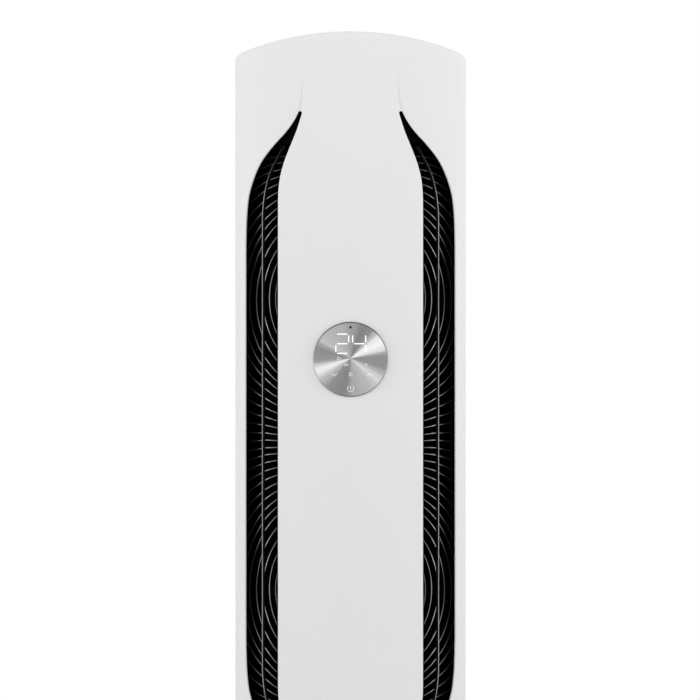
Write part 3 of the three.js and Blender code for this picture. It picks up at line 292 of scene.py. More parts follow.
white_casing = finish("white_casing", tone(227), tone(230, 230, 229), 900, rough=(0.34, 0.4), relief=0.03)
black_plastic = finish("black_plastic", (0.0015, 0.0015, 0.0016, 1), (0.003, 0.003, 0.0031, 1), 500,
                       rough=(0.45, 0.6), relief=0.08, shine=0.03)
dark_plastic = finish("dark_plastic", (0.002, 0.002, 0.0021, 1), (0.004, 0.004, 0.0042, 1), 500,
                      rough=(0.5, 0.65), relief=0.1, shine=0.06)
base_plastic = finish("base_plastic", tone(38, 39, 41), tone(48, 49, 51), 700,
                      rough=(0.45, 0.6), relief=0.15, shine=0.3)
grey_plastic = finish("grey_plastic", tone(150, 152, 154), tone(160, 162, 164), 700,
                      rough=(0.45, 0.6), relief=0.12)
rubber = finish("rubber", tone(24), tone(36), 900,
                rough=(0.8, 0.95), relief=0.3, shine=0.2)
sheet_steel = finish("sheet_steel", tone(158, 162, 165), tone(196, 200, 203), 70,
                     rough=(0.3, 0.5), relief=0.02, metal=1, kind="cells")
motor_steel = finish("motor_steel", tone(120, 122, 124), tone(150, 152, 154), 300,
                     stretch=(1, 1, 12), rough=(0.3, 0.45), relief=0.06, metal=1)
screw_steel = finish("screw_steel", tone(176, 178, 180), tone(206, 208, 210), 900,
                     rough=(0.25, 0.35), relief=0.05, metal=1)
coil_aluminium = finish("coil_aluminium", tone(168, 171, 174), tone(206, 209, 211), 260,
                        stretch=(1, 1, 0.1), rough=(0.3, 0.42), relief=0.05, metal=1)
copper = finish("copper", tone(176, 104, 66), tone(206, 132, 90), 120,
                stretch=(1, 1, 0.3), rough=(0.25, 0.4), relief=0.03, metal=1)
brass = finish("brass", tone(186, 150, 84), tone(214, 178, 108), 300,
               rough=(0.25, 0.38), relief=0.04, metal=1)
circuit_board = finish("circuit_board", tone(20, 70, 42), tone(40, 104, 62), 140,
                       rough=(0.3, 0.5), relief=0.12, kind="cells")
smoked_lens = finish("smoked_lens", (0.006, 0.004, 0.005, 1), (0.012, 0.008, 0.009, 1), 300,
                     rough=(0.12, 0.2), relief=0, shine=0.2)
print("finishes:", len(bpy.data.materials))


# %% [markdown]
# The bright edges of the outlet ribs are a painted highlight: a satin grey that stands in for the light their
# front edges catch. It fades to black near the outer side and the tips, as painted shade where the ribs lie
# deeper in the recess. The fade is written on the mesh as an attribute, so it stays with the ribs from any
# side.

# %% Painted highlight on the rib edges
def fading(name, grey):
    """A painted highlight: a satin grey whose strength follows a mesh attribute, falling to black as painted
    shade.
    """
    material = finish(name, grey, grey, 900, rough=(0.4, 0.5), relief=0.05, shine=0.12)
    tree = material.node_tree
    mix = next(n for n in tree.nodes if n.bl_idname == "ShaderNodeMix")
    mix.inputs[7].default_value = tuple(v * 1.12 for v in grey[:3]) + (1,)
    read = tree.nodes.new("ShaderNodeAttribute")
    read.attribute_name = "painted_light"
    shade = tree.nodes.new("ShaderNodeMix")
    shade.data_type = "RGBA"
    shade.inputs[6].default_value = (0.0025, 0.0025, 0.0026, 1)
    tree.links.new(read.outputs["Fac"], shade.inputs[0])
    tree.links.new(mix.outputs[2], shade.inputs[7])
    tree.links.new(shade.outputs[2], tree.nodes["Principled BSDF"].inputs["Base Color"])
    return material


# Both greys are painted highlights, and the attribute darkens them to black as painted shade.
rib_painted_highlight = fading("rib_painted_highlight", (0.6, 0.6, 0.6, 1))
bar_painted_highlight = fading("bar_painted_highlight", (0.34, 0.34, 0.34, 1))
print("fading finishes: rib_painted_highlight, bar_painted_highlight")

# %% [markdown]
# ## The casing's form
# Seen from above, the casing's outline is a shallow front arc, small front corners, straight sides, wide
# rear corners and a flat back. One function gives a point of it for any distance `u` along it from the
# middle of the front, and all cover pieces are laid out on that curve. The top is crowned, and its edge
# is rolled by 8 mm.

# %% Plan curve and crown
HALF_WIDTH, HALF_DEPTH, HEIGHT = 183.0, 165.0, 1810.0
FRONT_RADIUS, CORNER_RADIUS, REAR_RADIUS, CROWN_RADIUS, EDGE = 400.0, 28.0, 70.0, 605.0, 8.0
FRONT_CENTRE = FRONT_RADIUS - HALF_DEPTH  # y of the front arc's centre
CORNER_REACH = FRONT_RADIUS - CORNER_RADIUS
CORNER_X, REAR_X, REAR_Y = HALF_WIDTH - CORNER_RADIUS, HALF_WIDTH - REAR_RADIUS, HALF_DEPTH - REAR_RADIUS
CORNER_Y = FRONT_CENTRE - math.sqrt(CORNER_REACH**2 - CORNER_X**2)
ANGLE = math.asin(CORNER_X / CORNER_REACH)  # the front arc's half angle

# Where the outline's stretches end along it: front arc, front corner, side, rear corner, half the back.
U1 = FRONT_RADIUS * ANGLE
U2 = U1 + CORNER_RADIUS * (math.pi / 2 - ANGLE)
U3 = U2 + REAR_Y - CORNER_Y
U4 = U3 + REAR_RADIUS * math.pi / 2
REAR = U4 + REAR_X


def plan(u, inset=0.0):
    """Places (x, y) of the casing's outline at distances `u`, moved inwards by `inset`."""
    u = np.asarray(u, float)
    a = np.abs(u)
    side = np.where(u < 0, -1.0, 1.0) * np.where(a > REAR, -1.0, 1.0)
    a = np.where(a > REAR, 2 * REAR - a, a)
    front = np.minimum(a, U1) / FRONT_RADIUS
    corner = ANGLE + np.clip(a - U1, 0, U2 - U1) / CORNER_RADIUS
    rear = math.pi / 2 + np.clip(a - U3, 0, U4 - U3) / REAR_RADIUS
    x = FRONT_RADIUS * np.sin(front) + CORNER_RADIUS * (np.sin(corner) - math.sin(ANGLE))
    x = x + REAR_RADIUS * (np.sin(rear) - 1) - np.clip(a - U4, 0, None)
    y = FRONT_CENTRE - FRONT_RADIUS * np.cos(front) - CORNER_RADIUS * (np.cos(corner) - math.cos(ANGLE))
    y = y + np.clip(a - U2, 0, U3 - U2) - REAR_RADIUS * np.cos(rear)
    turn = front + (corner - ANGLE) + (rear - math.pi / 2)
    return side * (x - np.sin(turn) * inset), y + np.cos(turn) * inset


def crown(x):
    """Height of the crowned top."""
    return HEIGHT - CROWN_RADIUS + np.sqrt(CROWN_RADIUS**2 - np.asarray(x, float) ** 2)


def arc_y(x, depth):
    """The front's arc, moved back by a depth."""
    return FRONT_CENTRE - np.sqrt((FRONT_RADIUS - depth) ** 2 - np.asarray(x, float) ** 2)


RISE_FROM = 1700.0  # over this height the rows bend to follow the crown


def row_points(u, row, sink=0.0):
    """Points of a cover's row, of one of four kinds.

    A row is (kind, value): a level height, a share of the way up to the crown, the angle round the rolled
    edge, or the rim's distance inwards from the outline.
    """
    kind, value = row
    inset = {"roll": EDGE * (1 - math.cos(value)), "rim": value}.get(kind, 0.0)
    x, y = plan(u, inset + sink if kind in ("level", "rise") else inset)
    if kind == "level":
        z = np.full_like(x, value)
    elif kind == "rise":
        z = RISE_FROM + value * (crown(x) - EDGE - RISE_FROM)
    elif kind == "roll":
        z = crown(x) - EDGE * (1 - math.sin(value))
    else:
        z = crown(x)
    return np.stack([x, y, z], 1)


TOP_ROWS = [("rise", t / 14) for t in range(1, 15)]
TOP_ROWS += [("roll", math.radians(a)) for a in (15, 30, 45, 60, 75, 90)]
TOP_ROWS += [("rim", inset) for inset in (10, 12.3, 14.4)]
print("outline, half round:", round(REAR, 2), "mm; crown at the side:", round(float(crown(HALF_WIDTH)), 2))

# %% [markdown]
# A cover is drawn once, as its outer skin. `shell` then finds the skin's open edges, rolls each of them
# over with a small radius, carries it down through the wall and closes it with an inner skin. A
# weighted normal modifier keeps the large faces calm beside these small rolled edges.

# %% Skin to shell
WALL, LIP = 3.2, 0.8  # a cover's wall, and the radius of its rolled edges


def vertex_normals(points, faces):
    """Area-weighted normals of a mesh of quads and triangles."""
    normals = np.zeros_like(points)
    for face in faces:
        p = points[list(face)]
        if len(face) == 4:
            normal = np.cross(p[2] - p[0], p[3] - p[1])
        else:
            normal = np.cross(p[1] - p[0], p[2] - p[0])
        normals[list(face)] += normal
    return normals / np.maximum(np.linalg.norm(normals, axis=1), 1e-12)[:, None]


def shell(name, points, faces, look, wall=WALL, roll=LIP, plain=None, through=None, **rest):
    """Turns an outer skin into a closed cover with a wall and rolled edges.

    The way through the wall is square to `plain`, the skin without its dents, unless `through` gives it.
    """
    points = np.asarray(points, float)
    normals = vertex_normals(points if plain is None else plain, faces)
    if through is None:
        through = normals * np.broadcast_to(np.asarray(wall, float), len(points))[:, None]
    edges = {(f[i], f[(i + 1) % len(f)]) for f in faces for i in range(len(f))}
    rim = [(a, b) for a, b in edges if (b, a) not in edges]
    side = {}
    for a, b in rim:
        along = points[b] - points[a]
        for v in (a, b):
            out = np.cross(along, normals[v])
            side.setdefault(v, []).append(out / np.linalg.norm(out))
    order = sorted(side)
    spot = {v: i for i, v in enumerate(order)}
    lean = np.array([sum(side[v]) / max(1 + float(np.dot(side[v][0], side[v][-1])), 0.35) for v in order])
    start, deep = points[order], through[order]
    down = deep / np.linalg.norm(deep, axis=1)[:, None]
    rings = [start + lean * roll * math.sin(a) - down * roll * (1 - math.cos(a))
             for a in map(math.radians, (30, 60, 90))]
    rings.append(start + lean * roll - deep)
    all_points = [points, *rings, points - through]
    base = [len(points) + k * len(order) for k in range(4)]
    inner = len(points) + 4 * len(order)
    all_faces = list(faces)
    for a, b in rim:
        steps = [(a, b)] + [(k + spot[a], k + spot[b]) for k in base]
        all_faces += [(q, p, r, s) for (p, q), (r, s) in zip(steps, steps[1:])]
    hidden = [base[3] + spot[v] if v in spot else inner + v for v in range(len(points))]
    all_faces += [tuple(hidden[v] for v in reversed(face)) for face in faces]
    all_points = np.vstack(all_points)
    used = sorted({v for face in all_faces for v in face})
    move = {v: i for i, v in enumerate(used)}
    made = solid(name, all_points[used], [[move[v] for v in face] for face in all_faces], look, **rest)
    made.modifiers.new("calm_normals", "WEIGHTED_NORMAL").keep_sharp = True
    return made


print("shell helper ready")


# %% [markdown]
# ## Front cover
# The front is one moulded shell with two curved openings for the outlets and a round one for the
# display. Its grid has columns that follow the openings' edges, so those edges come out smooth. Above and
# below an opening the columns close into one crease, and the strip outside it is sunk a little there, as
# on the real machine. The openings' edges are smooth curves through a few points, mirrored about their
# middle height.

# %% Outlet edges
MIDDLE = 1169.0
OUTER = [(76, 1694), (79, 1689), (81.4, 1684.8), (83.7, 1680.1), (88, 1672.4), (93.2, 1664.7), (99.1, 1657),
         (105.7, 1649.4), (113, 1641.9), (126.3, 1626.8), (137.2, 1612.5), (145.6, 1597.2), (152, 1581.8),
         (156.9, 1566.5), (160.2, 1550.8), (163, 1519.5), (164.1, 1473)]
INNER = [(72.2, 1694), (74, 1689), (75.4, 1684.8), (76.6, 1680.1), (79, 1672.4), (84, 1657), (90.2, 1641.9),
         (96.6, 1626.8), (102.8, 1611), (107.6, 1595.6), (110.9, 1580.3), (113, 1560), (113.4, 1530)]
BAR = [(103.3, 1634), (109.9, 1624.8), (114.9, 1615.4), (121.6, 1603.6), (126.8, 1591.2), (130.6, 1579.4),
       (134.4, 1562), (136.5, 1547.2), (138, 1529.3), (138.2, 1511.5)]


def spline(points, steps=160):
    """A smooth curve through points."""
    p = np.asarray(points, float)
    made = []
    for t in np.linspace(0, len(p) - 1, steps):
        i = min(int(t), len(p) - 2)
        w = t - i
        a, b, c, d = p[max(i - 1, 0)], p[i], p[i + 1], p[min(i + 2, len(p) - 1)]
        v0, v1 = (c - a) / 2, (d - b) / 2
        made.append((2 * b - 2 * c + v0 + v1) * w**3 + (-3 * b + 3 * c - 2 * v0 - v1) * w**2 + v0 * w + b)
    return np.array(made)


def beside(line, distance):
    """A line moved sideways: to its left as it runs for a positive distance."""
    run = np.gradient(line, axis=0)
    run /= np.linalg.norm(run, axis=1)[:, None]
    return line + np.stack([-run[:, 1], run[:, 0]], 1) * distance


def smooth(a, b, v):
    """Rises smoothly from 0 at `a` to 1 at `b`."""
    t = np.clip((np.asarray(v, float) - a) / (b - a), 0, 1)
    return t * t * (3 - 2 * t)


def over_middle(z):
    """The same height in the upper half: a place below the outlets' middle is mirrored about it."""
    return MIDDLE + np.abs(np.asarray(z, float) - MIDDLE)


def across_at(line, height):
    """How far across a line is at a height. The line runs down."""
    return np.interp(height, line[::-1, 1], line[::-1, 0])


outer_line, inner_line = spline(OUTER), spline(INNER)


def outer_x(z):
    """An outlet's outer edge at a height of either half."""
    return across_at(outer_line, over_middle(z))


def inner_x(z):
    """An outlet's inner edge at a height of either half."""
    return across_at(inner_line, over_middle(z))


EDGE_BAND, TIP_ROUND = 0.9, 3.9  # the skin stops short of an opening by the band that its rolled edge takes


def on_front(line):
    """The same line, with distances along the front instead of across it."""
    return np.stack([FRONT_RADIUS * np.arcsin(line[:, 0] / FRONT_RADIUS), line[:, 1]], 1)


# Both lines run down. The opening lies to the left of the inner one and to the right of the outer one. Its
# tip is an arc of radius TIP_ROUND, whose centre lies that far from both edges.
skin_outer, skin_inner = beside(on_front(outer_line), EDGE_BAND), beside(on_front(inner_line), -EDGE_BAND)
skin_outer[:, 0] += 1.2 * smooth(80, 150, skin_outer[:, 0])  # the outer edge lies a little wider lower down
ring_outer, ring_inner = beside(skin_outer, -TIP_ROUND), beside(skin_inner, TIP_ROUND)
heights = np.linspace(1640, 1693, 2000)
apart = across_at(ring_outer, heights) - across_at(ring_inner, heights)
tip_z = heights[np.where(apart > 0)[0][-1]]
tip_u = float(across_at(ring_inner, tip_z))
tip_top = tip_z + TIP_ROUND
print("outlet tip: u", round(tip_u, 1), "z", round(tip_top, 1))

CREASE_LEAN, CREASE_FADE = 6.2, 16.0  # how far the crease leans inwards, and over what height
TIP_FROM_INNER, TIP_FROM_OUTER = -0.278, 0.617  # where the tip's arc meets each edge, in arc radii


def skin_edges(z):
    """How far along the front the opening's two edges are at a height: equal where it is closed."""
    h = float(over_middle(z))
    if h >= tip_top - 1e-6:
        crease = tip_u - CREASE_LEAN * (1 - math.exp((tip_top - h) / CREASE_FADE))
        return crease, crease
    above = (h - tip_z) / TIP_ROUND
    half = TIP_ROUND * math.sqrt(max(1 - above**2, 0))
    inner = tip_u - half if above > TIP_FROM_INNER else float(across_at(skin_inner, h))
    outer = tip_u + half if above > TIP_FROM_OUTER else float(across_at(skin_outer, h))
    return inner, outer


# %% Front cover's rows and columns
DISC_Z, DISC_HOLE = 1300.6, 57.7  # the display's height, and the radius of its opening
CENTRE_COLUMNS, DISC_CELLS = 24, 15  # columns from the middle to an outlet, and those that the display takes
BOTTOM = 15.2  # where the covers end over the base tray


def mirrored(heights):
    """The same heights below the outlets' middle."""
    return [2 * MIDDLE - z for z in heights]


def down_to(start, end, step):
    """Heights from a start down to an end, which isn't reached."""
    return list(np.arange(start, end, -step))


cell = skin_edges(MIDDLE)[0] / CENTRE_COLUMNS
tip_rows = [tip_z + TIP_ROUND * math.cos(math.radians(a)) for a in (0, 22, 42, 60, 78, 100, 125)]
tip_rows += down_to(tip_rows[-1] - 1.6, 1625, 3.0) + down_to(1625, 1540, 5.0) + down_to(1540, 1475, 8.0)
closed_rows = [tip_top + d for d in (0.8, 2.0, 3.6, 5.6, 8.0)]
crease_rows = [tip_top + d for d in (12.0, 17.0, 23.0, 30.0, 38.0, 48.0, 60.0)]
disc_rows = [DISC_Z + cell * k for k in range(-DISC_CELLS, DISC_CELLS + 1)]
levels = [BOTTOM, 22, 34, 50, 70] + list(np.arange(95, 570, 26.0))
levels += mirrored(reversed(closed_rows + crease_rows)) + mirrored(tip_rows)
levels += list(np.arange(mirrored(tip_rows)[-1] + 16, disc_rows[0] - 8, 20.0)) + disc_rows
levels += list(np.arange(disc_rows[-1] + 12, tip_rows[-1] - 6, 13.0)) + tip_rows[::-1] + closed_rows
front_rows = [("level", float(z)) for z in levels] + TOP_ROWS

# Columns right of an outlet: a strip of them up to the front corner, which moves with the outlet's edge, and
# fixed ones round the corner to the seam between the front and the rear cover.
STRIP = np.array([0, 0.35, 0.7, 1.1, 1.7, 2.6, 4, 6.5, 9.5, 13, 17, 24, 34, 46, 60, 77, 96.6])
CORNER_START, CORNER_END = 177.0, 204.0
SEAM_Y, SEAM_GAP = 20.0, 0.3
SEAM = U2 + SEAM_Y - SEAM_GAP / 2 - CORNER_Y - LIP
fixed = np.concatenate([np.linspace(CORNER_START, CORNER_END, 8)[1:], np.linspace(CORNER_END, SEAM, 13)[1:]])
print("front rows:", len(front_rows), "columns:", 2 * (CENTRE_COLUMNS + len(STRIP) + len(fixed)) + 1)


# %% [markdown]
# The strip outside an outlet is sunk most beside the opening's tip. Further on, where the opening has closed,
# a fine groove runs along the crease. Both are written as one depth that the skin is moved inwards by.

# %% Dish and crease
DISH_DEPTH, DISH_WIDTH, DISH_REACH = 1.5, 17.0, 60.0
GROOVE_DEPTH, GROOVE_REACH = 1.2, 58.0


def dish(distance, z):
    """How far the skin is sunk at a distance from an outlet's outer edge."""
    above = float(over_middle(z)) - tip_top
    along = smooth(-95, -5, above) * np.clip(1 - above / DISH_REACH, 0, 1) ** 0.7
    start = np.maximum(smooth(0, 1.1, distance), smooth(0, 8, -above))
    hollow = along * start * (1 - np.clip(distance / DISH_WIDTH, 0, 1)) ** 2
    groove = smooth(0, 3, above) * np.clip(1 - above / GROOVE_REACH, 0, 1) ** 0.6
    groove = groove * smooth(0, 0.4, distance) * (1 - smooth(0.9, 2.6, distance))
    return DISH_DEPTH * hollow + GROOVE_DEPTH * groove


depth_beside_tip = float(dish(np.array([2.0]), tip_z)[0])
print("sunk by", round(depth_beside_tip, 2), "mm, 2 mm beside the tip")


# %% [markdown]
# The skin is a grid of rows and columns, with a slit where an outlet is. Cells in the way of the round
# display are left out, and rings of new points lead from that gap's outline to the circle.

# %% Front cover
def round_hole(points, faces, ids, rows, columns, places, centre, radius, place_on):
    """Fills a rectangle of left-out cells round a circular opening, and returns the enlarged point list."""
    (r0, r1), (c0, c1) = rows, columns
    loop = [ids[r0][c] for c in range(c0, c1)] + [ids[r][c1] for r in range(r0, r1)]
    loop += [ids[r1][c] for c in range(c1, c0, -1)] + [ids[r][c0] for r in range(r1, r0, -1)]
    flat = places[loop] - np.asarray(centre)
    angle = np.arctan2(flat[:, 1], flat[:, 0])
    ring = radius * np.stack([np.cos(angle), np.sin(angle)], 1)
    last, count = loop, len(loop)
    for share in (0.2, 0.45, 0.7, 0.88, 1.0):
        start = len(points)
        points = np.vstack([points, place_on(flat + (ring - flat) * share + centre)])
        now = list(range(start, start + count))
        faces += [(last[i], last[(i + 1) % count], now[(i + 1) % count], now[i]) for i in range(count)]
        last = now
    return points


def rough_height(row):
    """A row's height, near enough to say how the crease lies there."""
    kind, value = row
    return {"level": value, "rise": RISE_FROM + 97 * value}.get(kind, 1800.0)


def front_skin():
    """Points, plain points, faces and wall thickness of the front cover's outer skin."""
    points, plain, walls, ids, places = [], [], [], [], []
    for row in front_rows:
        z = rough_height(row)
        inner, outer = skin_edges(z)
        closed = inner == outer
        strip = np.concatenate([outer + STRIP * (CORNER_START - outer) / STRIP[-1], fixed])
        centre = inner * np.arange(CENTRE_COLUMNS + 1) / CENTRE_COLUMNS
        sink = dish(strip - outer, z) if row[0] in ("level", "rise") else np.zeros(len(strip))
        right = np.concatenate([centre, strip[1:] if closed else strip])
        right_sink = np.concatenate([centre * 0, sink[1:] if closed else sink])
        u = np.concatenate([-right[:0:-1], right])
        sunk = np.concatenate([right_sink[:0:-1], right_sink])
        start = sum(len(p) for p in points)
        points.append(row_points(u, row, sunk))
        plain.append(row_points(u, row))
        places.append(np.stack([u, points[-1][:, 2]], 1))
        walls.append(WALL - sunk)
        middle = start + len(right) - 1
        half = list(range(CENTRE_COLUMNS + 1)) + ([CENTRE_COLUMNS] if closed else [])
        half += list(range(CENTRE_COLUMNS + 1, len(right)))
        ids.append([middle - i for i in reversed(half[1:])] + [middle + i for i in half])
    points = np.vstack(points)
    middle = len(ids[0]) // 2
    slits = {middle - CENTRE_COLUMNS - 1, middle + CENTRE_COLUMNS}
    disc_start = next(i for i, row in enumerate(front_rows) if abs(row[1] - disc_rows[0]) < 1e-6)
    rows = (disc_start, disc_start + 2 * DISC_CELLS)
    columns = (middle - DISC_CELLS, middle + DISC_CELLS)
    faces = []
    for r in range(len(front_rows) - 1):
        for c in range(len(ids[0]) - 1):
            in_disc = rows[0] <= r < rows[1] and columns[0] <= c < columns[1]
            if c not in slits and not in_disc:
                faces.append((ids[r][c], ids[r][c + 1], ids[r + 1][c + 1], ids[r + 1][c]))

    def place_on(flat):
        """Points of the front at (distance along it, height)."""
        return np.stack([*plan(flat[:, 0]), flat[:, 1]], 1)

    before = len(points)
    points = round_hole(points, faces, ids, rows, columns, np.vstack(places), (0, DISC_Z), DISC_HOLE + LIP,
                        place_on)
    walls.append(np.full(len(points) - before, WALL))
    plain.append(points[before:])
    return points, np.vstack(plain), faces, np.concatenate(walls)


skin, skin_plain, skin_faces, skin_wall = front_skin()
front = shell("front_cover_shell", skin, skin_faces, white_casing, wall=skin_wall, plain=skin_plain,
              stands_for="front_cover", slot="white_casing")
print("front cover:", len(front.data.vertices), "points, wall from", round(float(skin_wall.min()), 1), "mm")


# %% [markdown]
# ## Rear cover
# The rear shell wraps the sides and the back. It has a window for the intake grille, two tall slits in
# its rounded corners where the air filters slide out, a round opening for the pipes and one for the
# cable gland. It is laid out like the front one, with columns measured from the middle of the back.

# %% Openings at the back
# Distances run along the outline from the middle of the back, and grow towards -x.
GAP = 0.3  # between pieces that meet
GRILLE_HALF, GRILLE_Z = 106.0, (702.0, 1618.0)
FILTER_Z, FILTER_MIDDLE = (690.0, 1630.0), 1160.0
SLIT = (171.0, 181.95)
PIPES_AT, PIPES_RADIUS, PIPES_CELLS = (60.0, 130.0), 38.0, 50.0
GLAND_AT, GLAND_HALF = (-60.0, 90.0), 8.5
print("openings at the back: window, slits, pipes, gland")

# %% Rear cover
REAR_END = REAR - (U2 + SEAM_Y + SEAM_GAP / 2 - CORNER_Y + LIP)
half_columns = [0, *range(5, 106, 5), -GLAND_AT[0] - GLAND_HALF, -GLAND_AT[0] + GLAND_HALF,
                GRILLE_HALF + GAP + LIP, 110, REAR_X, 118.5, *range(124, 161, 6), 165,
                SLIT[0] - LIP, 176.5, SLIT[1] + LIP, *range(188, 224, 5), 240, 258, 278, REAR_END]
rear_columns = sorted({float(-c) for c in half_columns} | {float(c) for c in half_columns})
rear_levels = [BOTTOM, 24, 36, 52, 66, *range(80, 181, 5), GLAND_AT[1] - GLAND_HALF, GLAND_AT[1] + GLAND_HALF,
               *range(205, 670, 25), FILTER_Z[0] - GAP - LIP, GRILLE_Z[0] - GAP - LIP, *range(725, 1600, 25),
               GRILLE_Z[1] + GAP + LIP, FILTER_Z[1] + GAP + LIP, 1648, 1666, 1684]
rear_rows = [("level", float(z)) for z in sorted(rear_levels)] + [("rise", 0.0)] + TOP_ROWS


def is_open(at, z):
    """Whether a cell of the rear cover belongs to an opening, from its middle."""
    window = abs(at) < GRILLE_HALF + GAP and GRILLE_Z[0] - GAP < z < GRILLE_Z[1] + GAP
    slit = SLIT[0] < abs(at) < SLIT[1] and FILTER_Z[0] < z < FILTER_Z[1]
    pipes = abs(at - PIPES_AT[0]) < PIPES_CELLS and abs(z - PIPES_AT[1]) < PIPES_CELLS
    gland = abs(at - GLAND_AT[0]) < GLAND_HALF and abs(z - GLAND_AT[1]) < GLAND_HALF
    return window or slit or pipes or gland


def rear_skin():
    """Points and faces of the rear cover's outer skin."""
    across = np.array(rear_columns)
    points = np.vstack([row_points(REAR + across, row) for row in rear_rows])
    places = np.vstack([np.stack([across, np.full_like(across, row[1])], 1) for row in rear_rows])
    ids = [[r * len(across) + c for c in range(len(across))] for r in range(len(rear_rows))]
    faces = []
    for r in range(len(rear_rows) - 1):
        level = rear_rows[r + 1][0] == "level"
        z = (rear_rows[r][1] + rear_rows[r + 1][1]) / 2 if level else HEIGHT
        for c in range(len(across) - 1):
            if not is_open((across[c] + across[c + 1]) / 2, z):
                faces.append((ids[r][c], ids[r][c + 1], ids[r + 1][c + 1], ids[r + 1][c]))
    heights = [row[1] for row in rear_rows]
    rows = [heights.index(PIPES_AT[1] + way * PIPES_CELLS) for way in (-1, 1)]
    sides = [rear_columns.index(PIPES_AT[0] + way * PIPES_CELLS) for way in (-1, 1)]

    def place_on(flat):
        """Points of the back at (distance from its middle, height)."""
        return np.stack([*plan(REAR + flat[:, 0]), flat[:, 1]], 1)

    return round_hole(points, faces, ids, rows, sides, places, PIPES_AT, PIPES_RADIUS + LIP, place_on), faces


def slit_walls(points, normals):
    """The way through the rear cover's wall: square to it, but sideways at the slits of the filters."""
    through = normals * WALL
    rise = points[:, 1] - REAR_Y
    first, last = ((c - REAR_X) / REAR_RADIUS for c in (SLIT[0] - LIP - 0.1, SLIT[1] + LIP + 0.1))
    slit = (rise < REAR_RADIUS * math.cos(first)) & (rise > REAR_RADIUS * math.cos(last))
    slit &= np.abs(points[:, 2] - FILTER_MIDDLE) < FILTER_Z[1] - FILTER_MIDDLE + 5
    length = np.sqrt(REAR_RADIUS**2 - rise[slit] ** 2) - np.sqrt((REAR_RADIUS - WALL) ** 2 - rise[slit] ** 2)
    through[slit] = np.stack([np.sign(points[slit, 0]) * length, length * 0, length * 0], 1)
    print("slit points:", int(slit.sum()))
    return through


rear_points, rear_faces = rear_skin()
rear = shell("rear_cover_shell", rear_points, rear_faces, white_casing, stands_for="rear_cover",
             slot="white_casing", through=slit_walls(rear_points, vertex_normals(rear_points, rear_faces)))
print("rear cover:", len(rear.data.vertices), "points")

# %% [markdown]
# The lid follows the crown and drops into the covers' rolled edge, a hair below it. It lies on a grid
# of places across the casing, each running from the front outline to the rear one.

# %% Top cover
LID_ROLL, LID_SINK, LID_ROWS = 0.6, 0.4, 22
lid_inset = 15.3 + LID_ROLL
outline_x, outline_y = plan(np.linspace(-REAR, REAR, 2401), lid_inset)


def outline_at(x, half):
    """The lid's outline at a place across, on the half of it that is chosen."""
    order = np.argsort(outline_x[half])
    return float(np.interp(x, outline_x[half][order], outline_y[half][order]))


lid_columns = np.sin(np.linspace(-1, 1, 45) * math.pi / 2)
lid_points = []
for share in lid_columns:
    x = share * (HALF_WIDTH - lid_inset) * 0.99999
    start, end = outline_at(x, outline_y < SEAM_Y), outline_at(x, outline_y >= SEAM_Y)
    if abs(share) > 0.9999:
        start, end = CORNER_Y, REAR_Y
    z = float(crown(x)) - LID_SINK
    lid_points += [(x, start + (end - start) * t / LID_ROWS, z) for t in range(LID_ROWS + 1)]
next_column = LID_ROWS + 1
lid_faces = [
    (first, first + next_column, first + next_column + 1, first + 1)
    for c in range(len(lid_columns) - 1) for first in range(c * next_column, c * next_column + LID_ROWS)
]
lid = shell("top_cover_lid", lid_points, lid_faces, white_casing, wall=2.2, roll=LID_ROLL,
            stands_for="top_cover", slot="white_casing")
print("lid:", len(lid.data.vertices), "points")

# %% [markdown]
# ## Outlet guards
# Behind each outlet stands a black guard: a frame that follows the opening, and thin ribs that run in
# rings about two centres, bending towards them on the outer side. Each rib is a fin that narrows to its
# front edge, and only that edge is grey: a painted highlight, which draws the fine lines seen from the front.

# %% Rib paths
RING_CENTRES, HALF_RING = (1395.5, 940.0), 227.8
RIB_HEIGHTS = (29.9, 57.6, 78.4, 98.5, 117.0, 130.5, 142.1, 155.0, 167.2, 179.7, 191.5, 202.5, 212.9, 222.5)
RIB_PAST = 2.5  # a rib's ends reach this far behind the edges of the opening


def rib_pull(across, height):
    """How far a rib bends back to its ring's centre, as a difference of squares. Ribs far out bend less."""
    share = 1 - min(max((height - 110) / (HALF_RING - 110), 0), 1) ** 1.65
    return share * (212 * across + 2 * across**2)


def rib_drop(across):
    """The small slope of all ribs on the outer side of the bar."""
    return 0.16 * max(across - 19, 0)


def rib_paths():
    """Every rib of the right outlet, as points (x, z)."""
    paths = []
    for centre in RING_CENTRES:
        for height in RIB_HEIGHTS:
            start = float(inner_x(centre))
            full = float(outer_x(centre)) - start
            low, high = 0.0, full + 6
            for _ in range(30):
                middle = (low + high) / 2
                low, high = (middle, high) if rib_pull(middle, height) < height**2 else (low, middle)
            if low < full:
                reach = low * np.sin(np.linspace(0, math.pi / 2, 19))
                rise = [(start + a, math.sqrt(max(height**2 - rib_pull(a, height), 0))) for a in reach]
                upper = [(start - RIB_PAST, height)] + rise
                path = [(x, centre + up) for x, up in upper] + [(x, centre - up) for x, up in upper[-2::-1]]
                paths.append([(x, z - rib_drop(x - start)) for x, z in path])
                continue
            for way in (1, -1):
                start = float(inner_x(centre + way * height))
                width = float(outer_x(centre + way * height)) - start + 3
                steps = np.linspace(0, width, 15)
                path = [(start + a, centre + way * math.sqrt(height**2 - rib_pull(a, height)) - rib_drop(a))
                        for a in steps if rib_pull(a, height) < height**2]
                paths.append([(start - RIB_PAST, centre + way * height)] + path)
    return paths


paths = rib_paths()
print("ribs per outlet:", len(paths))


